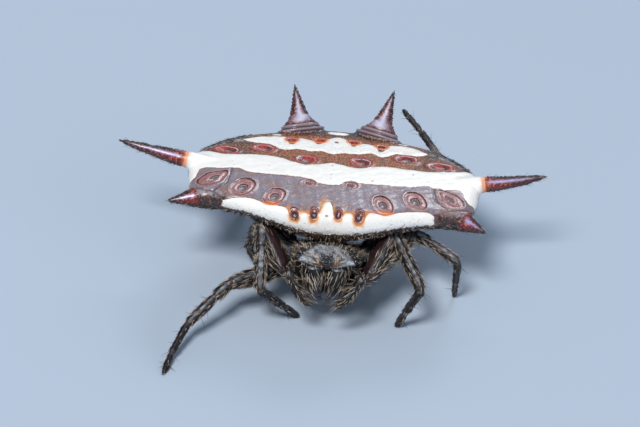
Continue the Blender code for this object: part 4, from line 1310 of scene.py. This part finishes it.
def build_leg(number, side, skin, hair, claw):
    name = f"leg_{number}_{side}"
    points = [*mirrored(LEG_ROOTS[number], side), *LEG_POSES[number, side]]
    path, s, places = rounded_path(points, LEG_STEP, BEND_ROUNDING)
    radii, segment = leg_profile(number, s, places)
    surface = limb_surface(path, radii, LEG_SIDES)
    row = surface.row
    # Fine ridges along the leg
    round_place = np.tile(np.arange(LEG_SIDES), len(path)) * 2 * math.pi / LEG_SIDES
    ridges = np.append(np.cos(round_place * 7) * 0.010, [0, 0]) * radii[row] / 0.35
    surface.points = surface.points + surface.normals * ridges[:, None]
    surface.points[:, 2] = np.maximum(surface.points[:, 2], LOWEST_SKIN)
    surface.normals = np.concatenate([surface.find_normals()[:-2], surface.normals[-2:]])
    face = upper_face(surface, path)
    tint = leg_tint(surface, s, places, segment, number, face)
    make_piece(f"{name}_skin", surface.shape, tint, skin,
               [f"{name}_{part}" for part in ("coxa", "femur", "tibia", "tarsus")])
    # Bristles, dense on the edges of the leg and thin on its upper face and at the joints
    away = 1.0 - 0.9 * at_joints(s, places, 0.07)[row]
    femur, foot = segment[row] == 1, segment[row] >= 4
    bare = smoothstep(0.86, 0.96, face) * np.where(femur, 0.5, 0.9)
    density = away * (1.0 - bare) * np.where(segment[row] == 0, 0.3, 1.0)
    outward = surface.normals[:, 0] * SIDES[side]
    inner = smoothstep(-0.10, 0.25, -outward) * (number == 1)
    density = density * np.where(femur, 1.0 - 0.97 * inner, 1.0)
    scale = 0.55 + 0.8 * smoothstep(0.05, 0.30, radii[row])
    seed = 100 + number * 2 + (side == "left")
    coat(f"{name}_bristles", "leg_bristles", surface, density * np.where(foot, 0.26, 1.0), seed, hair,
         places[-1], scale)
    coat(f"{name}_down", "leg_down", surface, density * np.where(foot, 1.6, 1.0), 100 + seed, hair,
         places[-1], scale)
    spikes = (segment[row] >= 2) * (1.0 - at_joints(s, places, 0.07)[row])
    coat(f"{name}_spikes", "leg_spikes", surface, spikes + TRACE, 600 + seed, hair, places[-1])
    if number <= 2:
        fringe = smoothstep(0.35, 0.75, outward) * femur * smoothstep(0.35, -0.25, surface.normals[:, 2])
        fringe = fringe * smoothstep(places[1] + 0.4, places[1] + 0.9, s[row])
        coat(f"{name}_fringe", "leg_fringe", surface, fringe + TRACE, 300 + seed, hair)
    build_claws(name, path, claw)


def build_claws(name, path, material):
    """Two hooked claws at the end of a leg."""
    forward = unit(path[-1] - path[-4])
    across = unit(np.cross(forward, (0, 0, 1.0)))
    parts = []
    for sign in (-1, 1):
        t = np.linspace(0, 1, 9)[:, None]
        start = path[-1] + across * sign * 0.016 - forward * 0.02
        hook = start + forward * 0.10 * np.sin(t * 1.5) - np.array([0, 0, 0.045]) * t**2
        hook = hook + across * sign * 0.015 * t
        hook[:, 2] = np.maximum(hook[:, 2], LOWEST_SKIN)
        parts.append(tube(hook, 0.016 * (1 - t[:, 0]) ** 0.7 + 0.002, 8))
    make_piece(f"{name}_claws", joined(parts), CLAW_BROWN, material)


def build_palp(side, skin, hair):
    name = f"palp_{side}"
    path, s, places = rounded_path(mirrored(PALP_POINTS, side), 0.035, 0.18)
    radii = along(np.c_[places, PALP_RADII], s)
    for place in places[2:4]:
        radii = radii * (1.0 - 0.16 * bell(s - place, 0.05))
    radii = radii * (0.35 + 0.65 * smoothstep(0.0, 0.16, places[-1] - s))
    surface = limb_surface(path, radii, 22)
    place, face = s[surface.row], upper_face(surface, path)
    # A pale painted highlight on the front of the knee, which has no hair
    ahead = np.append(-surface.normals[:-2, 1], [0, 0])
    knob_highlight = bell(place - places[2] - 0.06, 0.09) * smoothstep(0.72, 0.92, ahead)
    # A faint painted highlight along the top of the palp, past the knee
    top_highlight = smoothstep(0.90, 0.98, face) * smoothstep(places[2] + 0.2, places[2] + 0.4, place) * 0.25
    tint = blend(np.tile(PALP_SKIN, (len(place), 1)), PALP_KNEE_HIGHLIGHT, knob_highlight)
    make_piece(f"{name}_skin", surface.shape, blend(tint, STEEL_HIGHLIGHT, top_highlight), skin,
               [f"{name}_{part}" for part in ("femur", "tibia", "tarsus")])
    density = 1.0 - 0.97 * bell(place - places[2] - 0.06, 0.14) * smoothstep(0.45, 0.75, ahead)
    seed = 500 + (side == "left")
    coat(f"{name}_bristles", "palp_bristles", surface, density, seed, hair)
    coat(f"{name}_down", "palp_down", surface, density, seed + 10, hair)
    # Long hairs between the palp and the jaws
    inward = np.array([-SIDES[side], 0.0, -0.15])
    surface.lie = np.tile(inward, (len(place), 1))
    inner = smoothstep(0.2, 0.8, surface.normals @ inward) * (place > places[3] - 0.25)
    coat(f"{name}_fringe", "palp_fringe", surface, inner + TRACE, seed + 30, hair)


def build_chelicera(side, skin, hair):
    name = f"chelicera_{side}"
    path, s, places = rounded_path(mirrored(CHELICERA_POINTS, side), 0.035, 0.2)
    radii = along(np.c_[places, CHELICERA_RADII], s)
    radii = radii * (0.55 + 0.45 * smoothstep(0.0, 0.16, s))
    radii = radii * (0.62 + 0.38 * smoothstep(0, 0.14, places[-1] - s))
    surface = limb_surface(path, radii, 36)
    surface.points[:, 0] = SIDES[side] * np.maximum(surface.points[:, 0] * SIDES[side], 0.012)
    surface.normals = np.concatenate([surface.find_normals()[:-2], surface.normals[-2:]])
    height = surface.points[:, 2]
    tint = blend(np.tile(BLACK, (len(height), 1)), JAW_PLUM, smoothstep(1.85, 1.60, height))
    # A thin painted highlight along the top edge of the jaws
    boss_highlight = bell(height - 2.70, 0.022) * smoothstep(-2.85, -3.0, surface.points[:, 1])
    tint = blend(tint, JAW_EDGE_HIGHLIGHT, boss_highlight * 0.8)
    make_piece(f"{name}_skin", surface.shape, tint, skin, [name])
    # Hair down to the fang, turned inwards on the outer side
    density = (0.03 + 0.97 * smoothstep(1.62, 1.85, height)) * smoothstep(2.72, 2.64, height)
    reach = 0.45 + 1.1 * smoothstep(2.1, 1.6, height)
    reach = reach * smoothstep(0.0, 0.75, surface.points[:, 0] * SIDES[side])
    surface.lie = surface.lie + np.outer(reach, (-SIDES[side], 0.0, 0.0))
    coat(f"{name}_bristles", "chelicera_bristles", surface, density, 520 + (side == "left"), hair)
    coat(f"{name}_down", "chelicera_down", surface, density, 540 + (side == "left"), hair)


def build_fang(side, material):
    path, s, places = rounded_path(mirrored(FANG_POINTS, side), 0.02, 0.10)
    shape = tube(path, along(np.c_[places, FANG_RADII], s), 18)
    make_piece(f"fang_{side}_shell", shape, FANG_BROWN, material, [f"fang_{side}"])


# Head and body plates

def node_mesh(*names):
    """The solids of nodes as one mesh in millimetres."""
    points, corners, count = [], [], 0
    for name in names:
        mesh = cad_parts[name].data
        place = np.array(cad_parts[name].matrix_world)
        local = np.empty(len(mesh.vertices) * 3)
        mesh.vertices.foreach_get("co", local)
        local = local.reshape(-1, 3) @ place[:3, :3].T + place[:3, 3]
        mesh.calc_loop_triangles()
        faces = np.empty(len(mesh.loop_triangles) * 3, np.int32)
        mesh.loop_triangles.foreach_get("vertices", faces)
        points.append(local / MM)
        corners.append(faces.reshape(-1, 3) + count)
        count += len(local)
    return make_mesh("solids", np.concatenate(points), np.concatenate(corners), scale=1.0)


def plate_surface(names, voxel, rounds, inset):
    """A smooth plate from the solids of nodes, drawn in by its coat's depth."""
    points, quads = melted(node_mesh(*names), voxel)
    surface = Surface(eased(points, quads, ROUNDING * rounds), quads)
    surface.move(-inset)
    return surface


def flat_map(surface, size):
    """Each face's place on a flat map, upper faces over lower ones."""
    points = surface.points
    centre = (points.min(axis=0) + points.max(axis=0)) / 2
    place = (points[:, :2] - centre[:2]) / size * 0.46
    down = surface.normals[surface.quads].mean(axis=1)[:, 2] < 0
    # Steep faces are spread by their height so that they don't fall on each other
    fall = (points[:, 2] - centre[2]) / size * 0.20
    place = place + np.c_[np.zeros(len(points)), fall]
    lower, upper = (place + (0.5, 0.25))[surface.quads], (place + (0.5, 0.75))[surface.quads]
    return np.where(down[:, None, None], lower, upper)


def eye_ridge(side):
    """Where the ridge from the eyes to the side eyes runs, from front to rear."""
    return -3.02 + 0.16 * smoothstep(0.2, 1.0, side)


def bowed(z, level, bow, side):
    """How far a height is above a line across the face that rises towards the sides."""
    return z - (level + bow * (side / 0.7) ** 2)


def head_relief(points):
    """Eye mound, ridges to the side eyes, furrows and the swelling of the head."""
    x, y, z = points.T
    side = np.abs(x)
    ridge = 0.075 * bell(y - eye_ridge(side), 0.075)
    ridge = ridge * smoothstep(0.12, 0.3, side) * smoothstep(1.20, 1.00, side)
    ridge = ridge + 0.05 * bell(np.hypot(side - 1.0, y + 2.84), 0.13)
    mound = 0.075 * smoothstep(0.30, 0.12, np.hypot(x, y + 2.99))
    hollow = -0.060 * bell(y + 2.70, 0.12) * bell(side - 0.50, 0.30)
    neck = -0.06 * bell(y + 1.72 + 0.35 * side, 0.10) * smoothstep(1.3, 0.4, side)
    fovea = -0.09 * bell(x, 0.10) * bell(y + 1.25, 0.22)
    rays = 0.014 * np.cos(np.arctan2(y + 1.2, x) * 10) * bell(np.hypot(x, y + 1.2) - 0.6, 0.4)
    up = smoothstep(2.2, 2.5, z)
    return (ridge + mound + hollow + neck + fovea + rays) * up + 0.006 * waves(points, 0.30, 21)


def build_head(skin, hair):
    surface = plate_surface(["carapace"], 0.032, 16, 0.02)
    surface.move(head_relief(surface.points))
    x, y, z = surface.points.T
    side = np.abs(x)
    front = smoothstep(-2.70, -2.95, y)
    # A painted reflection: the smooth grey field round the eyes, broad at the eye row and narrow behind
    half = 0.98 - 0.60 * smoothstep(-2.95, -2.15, y)
    glossy_reflection = smoothstep(half + 0.08, half - 0.10, side)
    glossy_reflection = glossy_reflection * smoothstep(-2.05, -2.30, y) * smoothstep(2.90, 3.02, z)
    mottle = (0.62 + 0.5 * waves(surface.points, 0.20, 22)).clip(0.15, 1)
    tint = blend(np.tile(SKIN_BLACK, (len(x), 1)), EYE_FIELD_REFLECTION, glossy_reflection * mottle)
    # Painted highlights along the crests of the ridges to the side eyes
    ridge_highlight = bell(y - eye_ridge(side), 0.07) * smoothstep(0.40, 0.55, side)
    ridge_highlight = ridge_highlight * smoothstep(1.20, 1.10, side) * smoothstep(2.80, 2.90, z)
    tint = blend(tint, EYE_BAR_HIGHLIGHT, ridge_highlight * 0.95)
    below_bar = bell(bowed(z, 2.955, 0.10, side), 0.03) * front * smoothstep(0.30, 0.42, side)
    tint = blend(tint, BLACK, below_bar * smoothstep(1.1, 0.9, side))
    crescent = bell(bowed(z, 2.88, 0.09, side), blend(0.036, 0.016, smoothstep(0.25, 0.70, side)))
    crescent = crescent * front * smoothstep(0.78, 0.60, side)
    tint = blend(tint, CRESCENT, np.clip(crescent * 1.5, 0, 1))
    # A painted highlight along the rim of the face
    rim = bell(bowed(z, 2.795, 0.09, side), 0.015) * front * smoothstep(0.86, 0.74, side)
    rim = rim * smoothstep(0.06, 0.16, side)
    tint = blend(tint, FACE_RIM_HIGHLIGHT, rim * 0.85)
    from_mound = np.hypot(x, y + 3.0)
    mound = smoothstep(0.27, 0.20, from_mound) * smoothstep(2.90, 2.95, z)
    dark = np.maximum(bell(from_mound - 0.215, 0.04), smoothstep(-3.04, -3.10, y))
    tint = blend(tint, MOUND_BLACK, mound * dark)
    for centre, radius in eye_places():
        away = np.linalg.norm(surface.points - centre, axis=1) - radius
        tint = blend(tint, EYE_RIM, bell(away - 0.012, 0.018) * 0.7)
        mound = np.maximum(mound, smoothstep(0.12, 0.04, away))
    surface.corner_map = flat_map(surface, 3.2)
    mesh = make_piece("head_skin", surface.shape, tint, skin, ["carapace"])
    store_map(mesh, surface.corner_map)
    # Hair lies back and outwards from the eyes, and down on the face
    surface.lie = unit(np.stack([0.45 * x, 0.9 + 0 * x, -0.1 + 0 * x], 1))
    face = (z < 3.0) & (y < -2.9)
    surface.lie = np.where(face[:, None], np.array([0.0, -0.2, -1.0]), surface.lie)
    bare = np.clip(0.85 * glossy_reflection + mound + 1.6 * crescent + 1.4 * rim + 1.3 * ridge_highlight, 0, 1)
    density = (1.0 - 0.98 * bare) * (1.0 - mound) * smoothstep(2.0, 2.15, z)
    longer = 1.0 + 1.3 * smoothstep(-2.5, -1.9, y)
    coat("head_hair", "head_hair", surface, density, 401, hair, scale=longer)
    coat("head_down", "head_down", surface, density, 402, hair, scale=longer)
    fringe = bell(bowed(z, 2.985, 0.10, side), 0.022) * front * smoothstep(1.0, 0.85, side)
    fringe = fringe * smoothstep(0.22, 0.34, side)
    surface.lie = np.where(face[:, None], unit(np.stack([-1.1 * x, 0 * x, -0.8 + 0 * x], 1)), surface.lie)
    coat("face_fringe", "face_fringe", surface, fringe + 1e-6, 403, hair)


def eye_names():
    return [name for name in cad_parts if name.startswith("eye_")]


def eye_places():
    """Centre and radius of each eye, in millimetres."""
    places = []
    for name in eye_names():
        low, high = (np.array(corner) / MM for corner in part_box(name))
        places.append(((low + high) / 2, float(min(high - low)) / 2))
    return places


def build_eyes(material):
    for name, (centre, radius) in zip(eye_names(), eye_places()):
        t = np.linspace(0, math.pi, 26)
        path = centre + np.c_[np.zeros((26, 2)), -np.cos(t) * radius]
        mesh = make_mesh(f"{name}_lens", *tube(path, np.sin(t) * radius + 1e-4, 36))
        make_object(f"{name}_lens", mesh, material, [name])


def build_plates(skin, hair):
    """Sternum and waist."""
    for name, voxel, rounds, slot in (("sternum", 0.03, 12, "head_shell"), ("pedicel", 0.03, 8, "soft_skin")):
        surface = plate_surface([name], voxel, rounds, 0.015)
        surface.move(0.008 * waves(surface.points, 0.3, 31))
        surface.corner_map = flat_map(surface, 2.4)
        tint = STERNUM_BROWN if name == "sternum" else WAIST_BROWN
        make_piece(f"{name}_skin", surface.shape, tint, skin, [name])
        if name == "sternum":
            surface.lie = np.tile((0.0, 1.0, -0.1), (len(surface.points), 1))
            density = smoothstep(0.0, -0.5, surface.normals[:, 2])
            coat("sternum_hair", "sternum_hair", surface, density, 411, hair)


def build_spinnerets(skin, hair):
    """A low ring with three pairs of short lobes on it."""
    low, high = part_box("spinnerets")
    low, high = np.array(low) / MM, np.array(high) / MM
    middle = (low + high) / 2
    width = (high[0] - low[0]) / 2
    t = np.linspace(0, 1, 14)
    base = np.c_[np.full(14, middle[0]), np.full(14, middle[1]), high[2] - t * (high[2] - low[2]) * 0.55]
    parts = [tube(base, width * (0.98 - 0.34 * t**2), 40)]
    for angle, reach, size in ((55, 0.46, 0.30), (125, 0.46, 0.30), (0, 0.36, 0.20), (180, 0.36, 0.20),
                               (-50, 0.48, 0.27), (-130, 0.48, 0.27)):
        out = np.array([math.cos(math.radians(angle)), math.sin(math.radians(angle)), 0.0])
        start = middle + out * reach * width
        start[2] = high[2] - 0.35 * (high[2] - low[2])
        end = middle + out * reach * 0.55 * width
        end[2] = low[2] + 0.01
        path = start + np.outer(t, end - start)
        parts.append(tube(path, width * size * (1.0 - 0.55 * t**1.5) * np.sqrt(1 - 0.85 * t**6), 20))
    points, quads = melted(make_mesh("spinneret_cage", *joined(parts), scale=1.0), 0.022)
    points = eased(points, quads, ROUNDING * 5)
    points[:, :2] = np.clip(points[:, :2], low[:2], high[:2])
    surface = Surface(points, quads)
    height = (points[:, 2] - low[2]) / (high[2] - low[2])
    tint = blend(np.tile(SPINNERET_TOP, (len(points), 1)), SPINNERET_TIP, height)
    make_piece("spinneret_skin", surface.shape, tint, skin, ["spinnerets"])
    surface.corner_map = flat_map(surface, 1.2)
    surface.lie = np.tile((0.0, 0.0, -1.0), (len(points), 1))
    coat("spinneret_hair", "spinneret_hair", surface, np.ones(len(points)), 412, hair)


def build_abdomen_coat(surface, hair, bead):
    """Fine hair on the spines, the rim and the belly, and shiny grains on spines and rim."""
    marks, spine = surface.marks, surface.marks["spine"]
    height, outer, lateral = marks["height"], np.abs(marks["x"]), np.abs(spine["lateral"])
    is_rear = spine["kind"] == REAR_SPINE
    on_spine = smoothstep(0.0, 0.2, marks["own"])
    outward = unit(surface.points - (0.0, 1.6, 2.9))
    surface.lie = outward
    flank = smoothstep(100, 130, np.abs(spine["turn"])) + 0.35 * smoothstep(6, -10, spine["turn"])
    rear_flank = 0.4 * smoothstep(0.40, 0.5, spine["t"]) * smoothstep(0.6, 0.9, lateral)
    flank = np.where(is_rear, rear_flank, flank)
    coat("spine_hair", "spine_hair", surface, on_spine * flank + TRACE, 501, hair)
    rim = marks["rear"] * smoothstep(3.0, 3.5, outer) * smoothstep(-0.35, 0.1, height)
    rim = rim * smoothstep(0.30, 0.05, height) * (marks["white"] < -0.1) * (1 - on_spine)
    coat("rim_hair", "rim_hair", surface, rim + TRACE, 502, hair)
    lip = bell(height + 0.24, 0.12) * (marks["white"] < -0.05) * (1 - on_spine)
    surface.lie = unit(outward + (0, 0, -0.8))
    coat("lip_hair", "lip_hair", surface, lip + TRACE, 503, hair)
    belly = smoothstep(-0.40, -0.7, height) * (1 - on_spine)
    surface.lie = np.tile(unit(np.array([0, 0.7, -0.5])), (len(height), 1))
    coat("belly_hair", "belly_hair", surface, belly + TRACE, 504, hair)
    # Grains
    upper = smoothstep(72, 95, np.abs(spine["turn"])) + smoothstep(14, 4, spine["turn"])
    rear_upper = smoothstep(REAR_FOLD_END - 0.08, REAR_FOLD_END, spine["t"]) * smoothstep(0.40, 0.65, lateral)
    upper = on_spine * np.where(is_rear, rear_upper, upper)
    wedge = smoothstep(3.6, 3.9, outer) * smoothstep(-0.2, -0.5, marks["q"]) * (height > -0.35)
    wedge = wedge * (marks["white"] < -0.05) * (1 - on_spine) * smoothstep(-0.55, -0.8, marks["q"])
    tint = blend(surface.colour, BEAD_RED, 0.35)
    beads("spine_beads", surface, 2200, upper + TRACE, 0.030, tint, 511, bead)
    beads("rim_beads", surface, 1500, rim + 0.6 * wedge + TRACE, 0.034, tint, 512, bead)


# Stage

def add_light(name, place, size, power, colour):
    data = bpy.data.lights.new(name, "AREA")
    data.shape = "DISK"
    data.size = size
    data.energy = power
    data.color = colour
    light = bpy.data.objects.new(name, data)
    light.location = place
    light.rotation_euler = (Vector(LIGHT_TARGET) - Vector(place)).to_track_quat("-Z", "Y").to_euler()
    bpy.context.scene.collection.objects.link(light)


def build_stage():
    size = 4.0
    points = np.array([(-size, -size, 0), (size, -size, 0), (size, size, 0), (-size, size, 0)], float)
    mesh = make_mesh("floor", points, np.array([(0, 1, 2, 3)]), scale=1.0)
    floor = bpy.data.objects.new("floor", mesh)
    bpy.context.scene.collection.objects.link(floor)
    mesh.materials.append(floor_material())
    world = bpy.data.worlds.new("studio")
    world.use_nodes = True
    background = world.node_tree.nodes["Background"]
    background.inputs["Color"].default_value = (0.62, 0.72, 0.86, 1.0)
    background.inputs["Strength"].default_value = 0.34
    bpy.context.scene.world = world
    for name, values in LIGHTS.items():
        add_light(name, *values)


def build_camera():
    azimuth, elevation, roll = (math.radians(v) for v in (CAMERA_AZIMUTH, CAMERA_ELEVATION, CAMERA_ROLL))
    back = Vector((math.sin(azimuth) * math.cos(elevation), -math.cos(azimuth) * math.cos(elevation),
                   math.sin(elevation)))
    right = Vector((math.cos(azimuth), math.sin(azimuth), 0.0))
    up = back.cross(right)
    aim = Vector((0, 0, AIM_HEIGHT)) + right * AIM_SHIFT[0] + up * AIM_SHIFT[1]
    across = right * math.cos(roll) + up * math.sin(roll)
    upright = up * math.cos(roll) - right * math.sin(roll)
    data = bpy.data.cameras.new("camera")
    data.lens = CAMERA_LENS
    data.sensor_width = 36.0
    data.clip_start, data.clip_end = 0.01, 3.0
    camera = bpy.data.objects.new("camera", data)
    camera.matrix_world = Matrix.Translation((aim + back * CAMERA_DISTANCE) * MM) @ Matrix(
        (across, upright, back)).transposed().to_4x4()
    bpy.context.scene.collection.objects.link(camera)
    bpy.context.scene.camera = camera


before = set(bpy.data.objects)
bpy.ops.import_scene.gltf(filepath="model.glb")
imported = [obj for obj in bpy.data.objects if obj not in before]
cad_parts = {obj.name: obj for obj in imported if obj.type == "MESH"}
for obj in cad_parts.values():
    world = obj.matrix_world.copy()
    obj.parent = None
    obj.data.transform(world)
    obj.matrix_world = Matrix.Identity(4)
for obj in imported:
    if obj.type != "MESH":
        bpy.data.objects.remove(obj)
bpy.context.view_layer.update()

hair = hair_material()
limb_skin, head_cuticle, mouth_skin, soft_skin, claw_shell = (
    cuticle_material(name, *values) for name, values in CUTICLES.items())

abdomen = build_abdomen(shell_material())
build_abdomen_coat(abdomen, hair, bead_material())
build_head(head_cuticle, hair)
build_eyes(eye_material())
build_plates(soft_skin, hair)
build_spinnerets(soft_skin, hair)
for side in SIDES:
    build_chelicera(side, mouth_skin, hair)
    build_fang(side, claw_shell)
    build_palp(side, limb_skin, hair)
    for number in LEG_ROOTS:
        build_leg(number, side, limb_skin, hair, claw_shell)
build_stage()
build_camera()
bpy.context.scene.view_settings.view_transform = "Standard"
